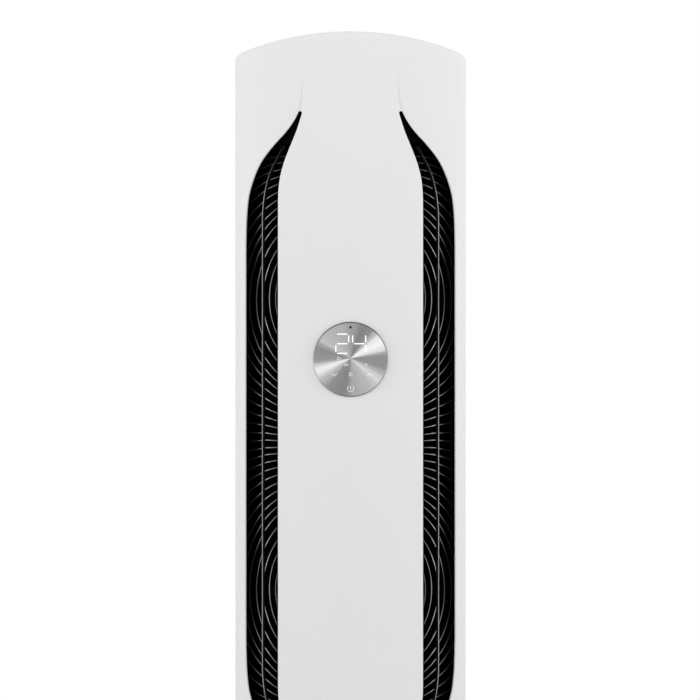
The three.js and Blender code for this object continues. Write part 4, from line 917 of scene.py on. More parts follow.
# %% Guards
def rib_painted_light(x, z):
    """How strong a rib edge's painted highlight is: most beside the bar, with painted shade fading it to
    either side of it, to the tips and at the opening's inner edge.
    """
    x, z, h = np.abs(x), np.asarray(z, float), over_middle(z)
    across = x - inner_x(z)
    beyond = x - across_at(np.array(BAR), h)
    from_ring = z - np.where(z > MIDDLE, *RING_CENTRES)
    reach = np.interp(from_ring, [-228, -190, -150, -60, 0, 60, 180, 228],
                      [7.5, 9.5, 15, 18, 15, 12.5, 11, 7.5])
    near = np.interp(beyond, [-22.3, -21.3, -17.3, -12.8, -8.1, -5.3, -2.3, 0],
                     [0.28, 0.33, 0.38, 0.44, 0.95, 0.9, 0.55, 0.5])
    far = np.interp(beyond / reach, [0, 0.3, 0.6, 0.85, 1], [0.5, 0.36, 0.14, 0.03, 0])
    upwards = np.interp(h, [1500, 1565, 1590, 1604, 1618, 1640], [1, 0.55, 0.33, 0.16, 0.09, 0])
    return np.where(beyond < 0, near, far) * upwards * (0.15 + 0.85 * smooth(1.0, 2.6, across))


# Sections of (across, forwards). The first side of a rib's section is its front edge, which carries the
# painted highlight.
RIB = [(-0.52, 0), (0.52, 0), (1.05, -1.6), (1.05, -8.4), (-1.05, -8.4), (-1.05, -1.6)]
GUARD_FRAME = [(-2.7, 6.5), (2.7, 6.5), (2.7, -6.5), (-2.7, -6.5)]
RIB_DEPTH, FRAME_DEPTH, TIP_DEPTHS = 9.0, 10.9, (15.2, 17.2)  # behind the front's arc
FRAME_OUT = 3.1  # from the opening's edge to the middle of the guard's frame
TIP_ROWS, TIP_COLUMNS = np.linspace(1640, 1688, 9), np.linspace(0, 1, 5)


def side_name(side):
    """The machine's side, as seen from the front, for -1 or 1."""
    return "left" if side < 0 else "right"


def with_painted_light(made, painted_light):
    """Writes the strength of a painted highlight per vertex on a piece."""
    places = np.array([v.co for v in made.data.vertices]) * 1000
    values = painted_light(places[:, 0], places[:, 2])
    made.data.attributes.new("painted_light", "FLOAT", "POINT").data.foreach_set("value", values)
    return made


def along_front(xz, side, depth):
    """A route of the right side, taken to either side and laid at a depth behind the front's arc."""
    x = xz[:, 0] * side
    return np.stack([x, arc_y(x, depth), xz[:, 1]], 1)


def opening_loop(distance):
    """The outlet's outline, moved outwards, as points (x, z) of the right side."""
    outside, inside = beside(outer_line, distance), beside(inner_line, -distance)
    z = np.linspace(1600, 1720, 4000)
    apart = across_at(outside, z) - across_at(inside, z)
    meeting = z[np.where(apart > 0)[0][-1]] if (apart <= 0).any() else outside[0, 1]
    upper = np.vstack([inside[inside[:, 1] < meeting][::-4], outside[outside[:, 1] < meeting][::4]])
    lower = np.stack([upper[::-1, 0], 2 * MIDDLE - upper[::-1, 1]], 1)
    return np.vstack([upper, lower])


def closed_tip(side, way):
    """The thin plate that closes a guard behind the narrow end of its opening."""
    rows, columns = len(TIP_ROWS), len(TIP_COLUMNS)
    places = []
    for z in TIP_ROWS:
        start, end = inner_x(z) - RIB_PAST, outer_x(z) + RIB_PAST
        places += [(start + (end - start) * t, z if way > 0 else 2 * MIDDLE - z) for t in TIP_COLUMNS]
    points = np.vstack([along_front(np.array(places), side, depth) for depth in TIP_DEPTHS])
    behind = len(places)
    faces = []
    for r in range(rows - 1):
        for first in range(r * columns, r * columns + columns - 1):
            quad = (first, first + 1, first + columns + 1, first + columns)
            faces += [quad, tuple(behind + v for v in reversed(quad))]
    up_start = [r * columns for r in range(rows)]
    up_end = [first + columns - 1 for first in up_start]
    rim = up_start + list(range(up_start[-1] + 1, up_end[-1]))
    rim += up_end[::-1] + list(range(columns - 2, 0, -1))
    faces += [(a, b, behind + b, behind + a) for a, b in zip(rim, rim[1:] + rim[:1])]
    return points, faces


def guard(side):
    """One outlet guard: ribs, frame and closed tips."""
    forms, kinds = [], []
    for path in paths:
        form = swept(along_front(np.array(path), side, RIB_DEPTH), RIB, up=(0, -1, 0))
        along = (len(path) - 1) * len(RIB)
        forms.append(form)
        kinds += [int(i % len(RIB) == 0 and i < along) for i in range(len(form[1]))]
    frame_route = along_front(opening_loop(FRAME_OUT), side, FRAME_DEPTH)
    forms.append(swept(frame_route, GUARD_FRAME, closed=True, up=(0, -1, 0)))
    forms += [closed_tip(side, way) for way in (1, -1)]
    kinds += [0] * (sum(len(faces) for _, faces in forms) - len(kinds))
    name = side_name(side)
    made = solid(f"outlet_guard_{name}", *together(*forms), [black_plastic, rib_painted_highlight], kinds=kinds,
                 stands_for=f"vent_guard_{name}", slot="black_plastic", sharp=50)
    return with_painted_light(made, rib_painted_light)


guards = [guard(side) for side in (-1, 1)]
print("guards:", [len(g.data.vertices) for g in guards], "points")

# %% [markdown]
# In front of the ribs runs one slim upright bar. It is black, with a fine bead along its outer side whose
# grey is a painted highlight, and it leans in towards the tip with the opening.

# %% Upright bars
STRIP_SECTION = [(-3.9, -1), (-3.4, -0.5), (-1, -0.5), (-0.6, -1),
                 (-0.6, -4.2), (-1.2, -4.6), (-3.4, -4.6), (-3.9, -4.2)]
BEAD_SECTION = [(-0.62, -0.3), (-0.36, 0.05), (0.36, 0.05), (0.62, -0.3), (0.62, -3.6), (-0.62, -3.6)]
BAR_DEPTH = 4.9


def bar_painted_light(x, z):
    """How strong the bead's painted highlight is: painted shade fades it towards the tips, by height only."""
    return np.interp(over_middle(z), [1552, 1568, 1582, 1595, 1607, 1618, 1632],
                     [1, 0.66, 0.42, 0.25, 0.15, 0.09, 0.03])


def upright_bar(side):
    """One bar: a black strip and its bead, swept along the same path."""
    upper = spline(BAR, 40)
    lower = np.stack([upper[:, 0], 2 * MIDDLE - upper[:, 1]], 1)
    route = along_front(np.vstack([lower, upper[::-1]]), side, BAR_DEPTH)
    strip, bead = [swept(route, [(a * side, b) for a, b in section], up=(0, -1, 0))
                   for section in (STRIP_SECTION, BEAD_SECTION)]
    name = side_name(side)
    kinds = [0] * len(strip[1]) + [1] * len(bead[1])
    made = solid(f"outlet_bar_{name}", *together(strip, bead), [black_plastic, bar_painted_highlight], kinds=kinds,
                 stands_for=f"vent_bar_{name}", slot="black_plastic")
    return with_painted_light(made, bar_painted_light)


bars = [upright_bar(side) for side in (-1, 1)]
print("bars:", len(bars), "with a bead of", round(2 * BEAD_SECTION[3][0], 1), "mm")

# %% [markdown]
# ## Display
# The round display is a shallow cup of spun metal. Spinning leaves fine rings, and they throw light in
# wedges from the middle, some bright and some dark. The wedges are painted as a tone that follows the
# angle about the middle, and the rings as a fine wave of the radius.

# %% Spun metal
# Painted reflections: the bright and dark wedges that the spun face throws, as (degrees, screen value).
FACE_PAINTED_REFLECTIONS = [
    (-180, 150), (-174, 164), (-169, 205), (-163, 240), (-156, 238), (-150, 214), (-143, 186), (-124, 143),
    (-101, 136), (-93, 150), (-86, 172), (-56, 186), (-47, 200), (-39, 220), (-32, 208), (-24, 178),
    (-15, 149), (4, 146), (9, 172), (15, 226), (27, 248), (37, 236), (46, 186), (54, 142),
    (70, 134), (83, 158), (110, 178), (140, 188), (149, 196), (155, 166), (163, 145), (180, 150),
]
# Painted shade and highlight on the rounded rim: dark along the top, bright at the lower left.
RIM_PAINTED_LIGHT = [
    (-180, 175), (-168, 222), (-150, 214), (-135, 160), (-100, 134), (-60, 160), (-30, 176), (0, 150),
    (30, 150), (50, 96), (90, 84), (120, 100), (150, 118), (170, 150), (180, 175),
]
WEDGE_CENTRE = (0, 0, (DISC_Z + 1.6) / 1000)


def spun(name, tones):
    """Spun metal: painted reflections as wedges of tone about the middle, and fine rings. Tones are (degrees,
    screen value).
    """
    material = bpy.data.materials.new(name)
    material.use_nodes = True
    tree = material.node_tree
    shader = tree.nodes["Principled BSDF"]
    shader.inputs["Metallic"].default_value = 1
    place = tree.nodes.new("ShaderNodeTexCoord")
    apart = tree.nodes.new("ShaderNodeVectorMath")
    apart.operation = "SUBTRACT"
    apart.inputs[1].default_value = WEDGE_CENTRE
    split = tree.nodes.new("ShaderNodeSeparateXYZ")
    tree.links.new(place.outputs["Object"], apart.inputs[0])
    tree.links.new(apart.outputs[0], split.inputs[0])

    def math_of(operation, first, second=None, value=None):
        """A maths node on one value, or with a second value or a number."""
        made = tree.nodes.new("ShaderNodeMath")
        made.operation = operation
        tree.links.new(first, made.inputs[0])
        if second is not None:
            tree.links.new(second, made.inputs[1])
        if value is not None:
            made.inputs[1].default_value = value
        return made.outputs[0]

    turn = math_of("ARCTAN2", split.outputs["Z"], split.outputs["X"])
    share = math_of("ADD", math_of("MULTIPLY", turn, value=1 / (2 * math.pi)), value=0.5)
    ramp = tree.nodes.new("ShaderNodeValToRGB")
    ramp.color_ramp.interpolation = "EASE"
    while len(ramp.color_ramp.elements) < len(tones):
        ramp.color_ramp.elements.new(0.5)
    for element, (angle, value) in zip(ramp.color_ramp.elements, tones):
        element.position = (angle + 180) / 360
        element.color = tone(value)
    tree.links.new(share, ramp.inputs[0])
    squares = [math_of("MULTIPLY", split.outputs[axis], split.outputs[axis]) for axis in "XZ"]
    radius = math_of("SQRT", math_of("ADD", *squares))
    rings = tree.nodes.new("ShaderNodeTexNoise")
    rings.noise_dimensions = "1D"
    rings.inputs["Scale"].default_value = 1400
    rings.inputs["Detail"].default_value = 2
    tree.links.new(radius, rings.inputs["W"])
    fine = node_of(tree, "ShaderNodeMapRange", To_Min=0.93, To_Max=1.07)
    tree.links.new(rings.outputs[0], fine.inputs["Value"])
    colour = tree.nodes.new("ShaderNodeVectorMath")
    colour.operation = "MULTIPLY"
    tree.links.new(ramp.outputs[0], colour.inputs[0])
    tree.links.new(fine.outputs[0], colour.inputs[1])
    tree.links.new(colour.outputs[0], shader.inputs["Base Color"])
    rough = node_of(tree, "ShaderNodeMapRange", To_Min=0.24, To_Max=0.34)
    tree.links.new(rings.outputs[0], rough.inputs["Value"])
    tree.links.new(rough.outputs[0], shader.inputs["Roughness"])
    bump = node_of(tree, "ShaderNodeBump", Strength=0.04, Distance=0.0001)
    tree.links.new(rings.outputs[0], bump.inputs["Height"])
    tree.links.new(bump.outputs[0], shader.inputs["Normal"])
    return material


spun_metal = spun("spun_metal", FACE_PAINTED_REFLECTIONS)
spun_rim_painted_light = spun("spun_rim_painted_light", RIM_PAINTED_LIGHT)
print("tones round the face:", len(FACE_PAINTED_REFLECTIONS), "and round the rim:", len(RIM_PAINTED_LIGHT))

# %% Display disc
FACE, RIM_FROM = -167.85, 56.5  # y of the face, and the radius where the rounded rim begins
profile = [(radius, FACE) for radius in (0, 10, 20, 30, 40, 48, 54, 56.3)]
profile += [(56.9, -167.7), (57.2, -167.35), (57.4, -166.8), (57.5, -166), (57.5, -157.4), (57.2, -156.7),
            (56.6, -156.4), (56, -156.4), (55.8, -156.9), (55.8, -165.2), (55.4, -165.6), (0, -165.6)]
points, faces = turned(profile, (0, 0, DISC_Z), "y", 144)
from_middle = np.hypot(points[:, 0], points[:, 2] - DISC_Z)
kinds = [int(from_middle[list(face)].mean() > RIM_FROM) for face in faces]
disc = solid("display_face", points, faces, [spun_metal, spun_rim_painted_light], kinds=kinds, stands_for="display_disc",
             slot="spun_metal")
print("disc:", len(disc.data.vertices), "points")

# %% [markdown]
# The display shines through the metal: a two-digit number made of seven-segment strokes, a small power
# sign under it, and three signs for fan and temperature. Each is a thin raised stroke with its own light.

# %% Lit signs
def lit(name, strength):
    """A light that shows at about `strength` of white over a dull base, with a faint grain."""
    material = finish(name, tone(120), tone(130), 600, rough=(0.5, 0.6), relief=0)
    shader = material.node_tree.nodes["Principled BSDF"]
    shader.inputs["Emission Color"].default_value = (1, 1, 1, 1)
    shader.inputs["Emission Strength"].default_value = strength
    return material


sign_light = lit("sign_light", 0.9)


def stroke(points, width):
    """A thin raised line on the display's face. Points are (x, z) from its middle."""
    route = np.array([(x, FACE - 0.02, DISC_Z + z) for x, z in points], float)
    half = width / 2
    section = [(-half, 0), (-half * 0.8, 0.08), (half * 0.8, 0.08), (half, 0), (half, -0.1), (-half, -0.1)]
    return swept(route, section, up=(0, -1, 0))


DIGIT_Z, DIGIT_WIDTH, DIGIT_SPACE = (8.35, 40.05), 1.9, 1.1


def digit(x0, x1, parts):
    """A digit of up to seven strokes, between two places across."""
    half = DIGIT_WIDTH / 2
    left, right, low, top = x0 + half, x1 - half, DIGIT_Z[0] + half, DIGIT_Z[1] - half
    middle, end = (top + low) / 2, half + DIGIT_SPACE
    lines = {}
    for name, z in (("top", top), ("middle", middle), ("bottom", low)):
        lines[name] = [(left + end, z), (right - end, z)]
    for name, x in (("left", left), ("right", right)):
        lines["upper_" + name] = [(x, middle + end), (x, top - end)]
        lines["lower_" + name] = [(x, low + end), (x, middle - end)]
    return [stroke(lines[part], DIGIT_WIDTH) for part in parts]


def arc(centre, radius, start, end, steps=24):
    """Points on an arc, with angles in degrees."""
    return [(centre[0] + radius * math.cos(a), centre[1] + radius * math.sin(a))
            for a in np.radians(np.linspace(start, end, steps))]


number = digit(-23.65, -1.85, ("top", "upper_right", "middle", "lower_left", "bottom"))
number += digit(2.35, 24.35, ("upper_left", "upper_right", "middle", "lower_right"))
solid("display_number", *together(*number), sign_light, slot="spun_metal", sharp=60)

power = [stroke(arc((0.3, -45.2), 4.7, 130, 410), 0.9), stroke([(0.3, -41), (0.3, -46.4)], 0.9)]
arrows = [stroke([(-30, -21.9), (-25.3, -25.4), (-20.8, -22.1)], 1.1),
          stroke([(25.4, -25.2), (29.4, -22.2), (33.2, -25.2)], 1.1)]
fan_sign = []
for turn in np.radians((90, 210, 330)):
    blade = np.array(arc((0, 0), 2.0, 0, 150, 10)) + [0.9, 0]
    about = np.array([[math.cos(turn), math.sin(turn)], [-math.sin(turn), math.cos(turn)]])
    fan_sign.append(stroke(blade @ about + [0.1, -23.2], 0.9))
degree = [stroke(arc((-18.7, 1.6), 1.9, 20, 340), 0.8), stroke([(-15.6, 0.2), (-14.6, 2.9)], 0.8)]
ticks = [stroke([(x, -10.2), (x, -6.4)], 0.8) for x in (-9.0, -7.2, -5.4, -3.6, 23.3, 25.1)]
faint = power + arrows + fan_sign + degree + ticks
solid("display_signs", *together(*faint), lit("sign_faint", 0.62), slot="spun_metal", sharp=60)
print("number strokes:", len(number), "other strokes:", len(faint))

# %% Receiver
RECEIVER_Z = 1350.3
lens = turned([(0, -167.98), (1.1, -167.97), (1.7, -167.93), (2, -167.84), (2.1, -167.6), (2.1, -165.3),
               (4, -165.3), (4, -163.8), (0, -163.8)], (0, 0, RECEIVER_Z), "y", 32)
solid("receiver_dome", *lens, smoked_lens, stands_for="receiver_lens", slot="smoked_lens")
print("receiver dome made")

# %% [markdown]
# ## Back of the machine
# The intake grille is a frame with a middle post and cross bars, as in the CAD, and fine slanted louvres
# fill its cells. Behind it two air filters stand in rails: a frame, a fine net and a fluted edge to pull.

# %% Intake grille
FRAME_WIDTH, BAR_WIDTH = 8.0, 12.0
GRILLE_CELLS, LOUVRES = 13, 8  # cells between cross bars, and louvres in each
GRILLE_Y, LOUVRE_Y = (162.2, 168.0), 165.0
LOUVRE = [(-2.4, -0.5), (-2.6, 0), (-2.3, 0.5), (2, 1.6), (2.5, 1.3), (2.2, 0.8)]  # slopes down outwards

white_parts = finish("white_parts", tone(224), tone(229, 229, 228), 800, rough=(0.36, 0.44), relief=0.05)
low, high = GRILLE_Z
inner_half, inner_low, inner_high = GRILLE_HALF - FRAME_WIDTH, low + FRAME_WIDTH, high - FRAME_WIDTH
pitch = (inner_high - inner_low + BAR_WIDTH) / GRILLE_CELLS


def grille_box(x0, x1, z0, z1, inside=0.0, outside=0.0, soft=1.0):
    """A bar of the grille, thinner than its frame by so much on the inside and outside."""
    return boxed((x0, GRILLE_Y[0] + inside, z0), (x1, GRILLE_Y[1] - outside, z1), soft)


grille = [
    grille_box(-GRILLE_HALF, -inner_half, low, high),
    grille_box(inner_half, GRILLE_HALF, low, high),
    grille_box(-inner_half, inner_half, low, inner_low),
    grille_box(-inner_half, inner_half, inner_high, high),
    grille_box(-4, 4, inner_low, inner_high, 0.2, 0.1),
]
for number in range(1, GRILLE_CELLS):
    z = inner_low + number * pitch
    grille.append(grille_box(-inner_half, inner_half, z - BAR_WIDTH, z, 0.2, 0.2, 1.2))
for number in range(GRILLE_CELLS):
    for k in range(1, LOUVRES + 1):
        z = inner_low + number * pitch + (pitch - BAR_WIDTH) * k / (LOUVRES + 1)
        grille.append(swept([(-inner_half - 0.4, LOUVRE_Y, z), (inner_half + 0.4, LOUVRE_Y, z)], LOUVRE))
solid("intake_grille", *together(*grille), white_parts, stands_for="rear_grille", slot="white_casing",
      sharp=30)
print("louvres:", GRILLE_CELLS * LOUVRES)

# %% Air filters
FILTER_X, FILTER_Y = (0.3, 164.6), (134.0, 142.0)
NET_PITCH, NET_WIRE = 3.6, 0.5
PULL_HALF, PULL_RIBS, PULL_PITCH = 45.0, 11, 7.0


def air_filter(side):
    """A sliding filter: frame, cross bars, net and pull."""
    (x0, x1), (y0, y1), (z0, z1) = FILTER_X, FILTER_Y, FILTER_Z
    left, right, bottom, top = x0 + FRAME_WIDTH, x1 - FRAME_WIDTH, z0 + FRAME_WIDTH, z1 - FRAME_WIDTH
    forms = []

    def bar(from_x, to_x, from_z, to_z, near=y0, far=y1, soft=0.8):
        """One box of the filter, on its own side of the machine."""
        ends = sorted((from_x * side, to_x * side))
        forms.append(boxed((ends[0], near, from_z), (ends[1], far, to_z), soft))

    bar(x0, left, z0, z1)
    bar(right, x1, z0, z1)
    for z in np.linspace(z0, top, 5):
        bar(left, right, z, z + FRAME_WIDTH, y0 + 0.5, y1 - 0.2)
    middle = (x0 + x1) / 2
    bar(middle - FRAME_WIDTH / 2, middle + FRAME_WIDTH / 2, bottom, top, y0 + 0.5, y1 - 0.2)
    for x in np.arange(left + 3, right, NET_PITCH):
        bar(x, x + NET_WIRE, bottom, top, y1 - 1.6, y1 - 1.1, 0.1)
    for z in np.arange(bottom + 3, top, NET_PITCH):
        bar(left, right, z, z + NET_WIRE, y1 - 1.1, y1 - 0.6, 0.1)
    bar(x1 - 1, x1 + 1.9, FILTER_MIDDLE - PULL_HALF, FILTER_MIDDLE + PULL_HALF, y0, y0 + 4, 0.6)
    for k in range(PULL_RIBS):
        z = FILTER_MIDDLE + PULL_PITCH * (k - PULL_RIBS // 2)
        bar(x1 + 1.2, x1 + 2, z - 1, z + 1, y0 + 0.2, y0 + 3.8, 0.25)
    name = side_name(side)
    return solid(f"air_filter_{name}", *together(*forms), grey_plastic, body=f"filter_{name}",
                 stands_for=f"filter_{name}", slot="grey_plastic", sharp=30)


filters = [air_filter(side) for side in (-1, 1)]
print("filters:", [len(f.data.vertices) for f in filters], "points")

# %% [markdown]
# Small fittings close the back: four cross-slot screws and the gland for the supply cable, a six-sided
# nut with a domed collar and a rubber seal.

# %% Screws
BACK_STEPS = 24  # points round a screw's head and round the gland


def stacked(layers, x, z):
    """Points of layers (outline, y) that lie behind each other round a place on the back."""
    return np.vstack([np.column_stack([outline[:, 0] + x, np.full(BACK_STEPS, y), outline[:, 1] + z])
                      for outline, y in layers])


def screw(name, x, z):
    """A domed screw with a cross slot and a threaded shank, pointing into the back."""
    w, arm = 0.45, 2.5  # half a slot's width, and its reach
    corner = [(arm, 0), (arm, w), ((arm + w) / 2, w), (w, w), (w, (arm + w) / 2), (w, arm)]
    turns = ((1, 0), (0, 1), (-1, 0), (0, -1))
    cross = np.array([(a * c - b * s, a * s + b * c) for c, s in turns for a, b in corner])
    dome = ((4.4, 165.35), (4.5, 165.6), (4.4, 166.3), (4, 167.2), (3.3, 167.75), (2.9, 167.9))
    layers = [(circle(radius, BACK_STEPS), y) for radius, y in dome] + [(cross, 167.9), (cross * 0.9, 166.4)]
    last = (len(layers) - 1) * BACK_STEPS
    faces = ring_faces(len(layers), BACK_STEPS)
    faces += [tuple(range(BACK_STEPS))[::-1], tuple(range(last, last + BACK_STEPS))]
    thread = [(0, 151.2), (0.8, 151.2)]
    for k in range(12):
        thread += [(2, 152.2 + k * 1.05), (1.6, 152.7 + k * 1.05)]
    thread += [(1.9, 165.4), (0, 165.4)]
    shank = turned(thread, (x, 0, z), "y", 20)
    head = stacked(layers, x, z), faces
    return solid(f"set_{name}", *together(head, shank), screw_steel, stands_for=name, slot="screw_steel",
                 sharp=40)


for row, z in (("lower", 27), ("upper", 1685.5)):
    for side in (-1, 1):
        screw(f"screw_{row}_{side_name(side)}", 100 * side, z)
print("screws: 4")

# %% Cable gland
gland_x, gland_z = -GLAND_AT[0], GLAND_AT[1]
corners = 15 * np.array([(math.cos(a), math.sin(a)) for a in np.radians(np.arange(6) * 60 + 30)])
hexagon = np.array([corners[i] * (1 - t) + corners[(i + 1) % 6] * t
                    for i in range(6) for t in (0, 0.25, 0.5, 0.75)])
reach = np.hypot(hexagon[:, 0], hexagon[:, 1])[:, None]
chamfered = hexagon * np.clip(14.6 / reach, 0, 1)
bore = 6.3
collar = ((10.2, 167.5), (9.6, 167.95), (7.4, 167.95), (6.6, 167.5), (bore, 166), (bore, 141.8), (8.6, 141.4),
          (9.4, 142.2), (9.4, 164.8))
layers = [(hexagon, 165.35), (hexagon, 166.9), (chamfered, 167.3)]
layers += [(hexagon / reach * radius, y) for radius, y in collar]
nut = stacked(layers, gland_x, gland_z), ring_faces(len(layers), BACK_STEPS, True)
seal = turned([(6.2, 158), (6.2, 160.6), (5, 161.4), (4.4, 161), (4.4, 159.4), (5, 158)],
              (gland_x, 0, gland_z), "y", 32)
kinds = [0] * len(nut[1]) + [1] * len(seal[1])
solid("supply_gland", *together(nut, seal), [base_plastic, rubber], kinds=kinds, stands_for="cable_gland",
      slot="black_plastic", sharp=32)
print("gland: six flats, bore", 2 * bore, "mm")

# %% [markdown]
# ## Base and feet
# The base tray closes the shell from below with a dark shadow line. Four rubber feet with a groove round
# them carry the machine.

# %% Base tray
# The tray's wall as (inset from the outline, height), from its underside up the outside and down the inside.
TRAY = [(4.2, 6), (2.7, 6.25), (2.05, 7), (2, 8.2), (2.5, 8.6), (2.5, 9.6), (2, 10), (2, 13.2), (2.5, 13.8),
        (3.7, 14), (3.7, 39.4), (4.2, 40), (5.9, 40), (6.4, 39.4), (6.4, 14)]
stops = [-U1, U1, U2, U3, U4, *(2 * REAR - u for u in (U4, U3, U2, U1))]
around = np.concatenate([np.linspace(start, end, steps, endpoint=False)
                         for start, end, steps in zip(stops, stops[1:], (40, 8, 8, 16, 8, 16, 8, 8))])
count, last = len(around), (len(TRAY) - 1) * len(around)
points = np.vstack([np.column_stack([*plan(around, inset), np.full(count, z)]) for inset, z in TRAY])
faces = ring_faces(len(TRAY), count) + [tuple(range(count))[::-1], tuple(range(last, last + count))]
solid("base_tray_moulding", points, faces, base_plastic, stands_for="base_tray", slot="dark_plastic",
      sharp=50)
print("base:", count, "points round")

# %% Feet
FOOT = [(0, 0.8), (12, 0.8), (12.8, 0.1), (18.6, 0.05), (19.6, 0.5), (20, 1.3), (20, 1.9), (19.3, 2.3),
        (19.3, 2.9), (20, 3.3), (20, 4.9), (19.3, 5.6), (4, 5.6), (3.9, 13.4), (3.4, 13.8), (0, 13.8)]
FOOT_X, FOOT_Y = 121.0, {"front": -115.26, "rear": 103.0}
for end, y in FOOT_Y.items():
    for side in (-1, 1):
        name = f"{end}_{side_name(side)}"
        solid(f"rubber_foot_{name}", *turned(FOOT, (FOOT_X * side, y, 0), "z", 56), rubber,
              stands_for=f"foot_{name}", slot="rubber", sharp=50)
print("feet: 4")

# %% [markdown]
# ## Inside
# The inner works show through the outlets, the grille, the pipe opening, and when a filter is pulled.
# The cross-flow fans are long wheels of thin curved blades between rings. The coil is a stack of thin
# plates on upright copper tubes.

# %% Fans
FAN_X, FAN_Y, FAN_BLADES = 92.0, 5.0, 35
PLATE_HEIGHTS, RING_HEIGHTS = (660, 1153.5, 1647), (824, 988, 1318, 1482)
LOWER_SHAFT = [(0, 609.6), (4.4, 609.6), (5, 610.2), (5, 661), (0, 661)]
UPPER_SHAFT = [(0, 1649), (5, 1649), (5, 1666.6), (4.4, 1667.2), (0, 1667.2)]


def fan_wheel(side):
    """A cross-flow fan: curved blades held by full plates and open rings, on two shaft ends."""
    x = FAN_X * side
    middle = [(35.5 + 11.2 * t, 0.24 * math.sin(t * math.pi / 2)) for t in np.linspace(0, 1, 6)]
    forms = []
    for turn in np.arange(FAN_BLADES) * 2 * math.pi / FAN_BLADES:
        polar = [(r, turn + a + 0.011) for r, a in middle]
        polar += [(r, turn + a - 0.011) for r, a in middle[::-1]]
        outline = [(r * math.cos(a), r * math.sin(a)) for r, a in polar]
        forms.append(swept([(x, FAN_Y, 661), (x, FAN_Y, 1649)], outline, up=(0, 1, 0)))
    for z in PLATE_HEIGHTS:
        profile = [(0, z), (46.5, z), (47.6, z + 0.5), (47.6, z + 2.5), (46.5, z + 3), (0, z + 3)]
        forms.append(turned(profile, (x, FAN_Y, 0)))
    for z in RING_HEIGHTS:
        profile = [(34.5, z), (47.2, z), (47.6, z + 0.6), (47.6, z + 1.8), (47.2, z + 2.4), (34.5, z + 2.4)]
        forms.append(turned(profile, (x, FAN_Y, 0)))
    forms += [turned(profile, (x, FAN_Y, 0), steps=24) for profile in (LOWER_SHAFT, UPPER_SHAFT)]
    name = side_name(side)
    return solid(f"fan_wheel_{name}", *together(*forms), dark_plastic, body=f"fan_{name}",
                 stands_for=f"fan_{name}", slot="dark_plastic", sharp=35)


wheels = [fan_wheel(side) for side in (-1, 1)]
print("fan wheels:", [len(w.data.vertices) for w in wheels], "points")

# %% Vanes
VANE_X, VANE_Y, VANE_TURN = {"inner": 118.0, "outer": 148.0}, -84.0, 12.0
VANE_HALF_CHORD, VANE_HALF_THICK = 14.8, 1.5
LOW_PIN = {"inner": 640.0, "outer": 649.6}  # the inner vane's pin reaches down into its motor
PIN_TOP, CRANK = 1673.8, 14.0  # the arm's top, and how far the crank pin stands from the vane's own pins


def swing_vane(side, which):
    """An upright aerofoil vane with its pins, arm and crank pin."""
    x, y, low = VANE_X[which] * side, VANE_Y, LOW_PIN[which]
    turn = math.radians(VANE_TURN * side)
    t = np.linspace(0, 1, 15)
    thick = VANE_HALF_THICK * np.sin(np.pi * t**0.6) ** 0.75 + 0.12
    chord = VANE_HALF_CHORD * (2 * t - 1)
    outline = np.vstack([np.stack([thick, chord], 1), np.stack([-thick, chord], 1)[::-1]])
    crank_pin = [(0, 1673.5), (2, 1673.5), (2, 1678.2), (1.5, 1678.8), (0, 1678.8)]
    forms = [
        swept([(x, y, 656.2), (x, y, 1663.8)], outline, up=(-math.sin(turn), math.cos(turn), 0)),
        turned([(0, low), (2.6, low), (3, low + 0.5), (3, 657), (0, 657)], (x, y, 0), steps=20),
        turned([(0, 1663), (3, 1663), (3, PIN_TOP), (0, PIN_TOP)], (x, y, 0), steps=20),
        boxed((x - 4, y - 4, PIN_TOP - 2.9), (x + 4, y + CRANK + 4, PIN_TOP)),
        turned(crank_pin, (x, y + CRANK, 0), steps=18),
    ]
    name = f"{which}_{side_name(side)}"
    return solid(f"swing_vane_{name}", *together(*forms), black_plastic, body=f"vane_{name}",
                 stands_for=f"vane_{name}", slot="black_plastic", sharp=40)


vanes = [swing_vane(side, which) for side in (-1, 1) for which in VANE_X]
print("vanes:", len(vanes))

# %% Coil
COIL_X, COIL_Y, COIL_Z = 149.8, (78.2, 115.8), (678.2, 1639.6)
FIN_PITCH, FIN_THICKNESS = 3.2, 0.5
plates = [boxed((-COIL_X, COIL_Y[0], z), (COIL_X, COIL_Y[1], z + FIN_THICKNESS), 0.1)
          for z in np.arange(COIL_Z[0], COIL_Z[1] - 0.6, FIN_PITCH)]
tube = [(0, COIL_Z[0]), (3.5, COIL_Z[0]), (3.5, COIL_Z[1]), (0, COIL_Z[1])]
tubes = [turned(tube, (x, y, 0), steps=20) for x in (-112.5, -37.5, 37.5, 112.5) for y in (88, 106)]
kinds = [0] * sum(len(p[1]) for p in plates) + [1] * sum(len(t[1]) for t in tubes)
solid("coil_plates", *together(*plates, *tubes), [coil_aluminium, copper], kinds=kinds,
      stands_for="coil_fins", slot="coil_aluminium", sharp=30)
print("coil plates:", len(plates), "tubes:", len(tubes))

# %% Pipes
PIPE_X, PIPE_TOP, PIPE_END, PIPE_BEND = 152.0, 734.0, 300.2, 9.0
for name, radius, y in (("gas", 4.8, 102), ("liquid", 3.2, 83)):
    bend = [(PIPE_X + PIPE_BEND * math.sin(a), y, PIPE_TOP - PIPE_BEND * (1 - math.cos(a)))
            for a in np.radians(np.linspace(0, 90, 12))]
    down = bend[-1][0]
    route = [(PIPE_X - 1.5, y, PIPE_TOP), *bend, (down, y, 600), (down, y, PIPE_END)]
    solid(f"copper_{name}_pipe", *swept(route, circle(radius, 28), up=(0, 1, 0)), copper,
          stands_for=f"{name}_pipe", slot="copper", sharp=50)
print("pipes: gas and liquid")

# %% [markdown]
# ## Parts kept from the CAD
# The other inner parts already have their real shape, so they stay as they are. A small bevel softens
# their edges, and each gets the finish of its own stuff: galvanised sheet for the frame, copper and brass
# for the fittings, moulded plastic for rails and pans.

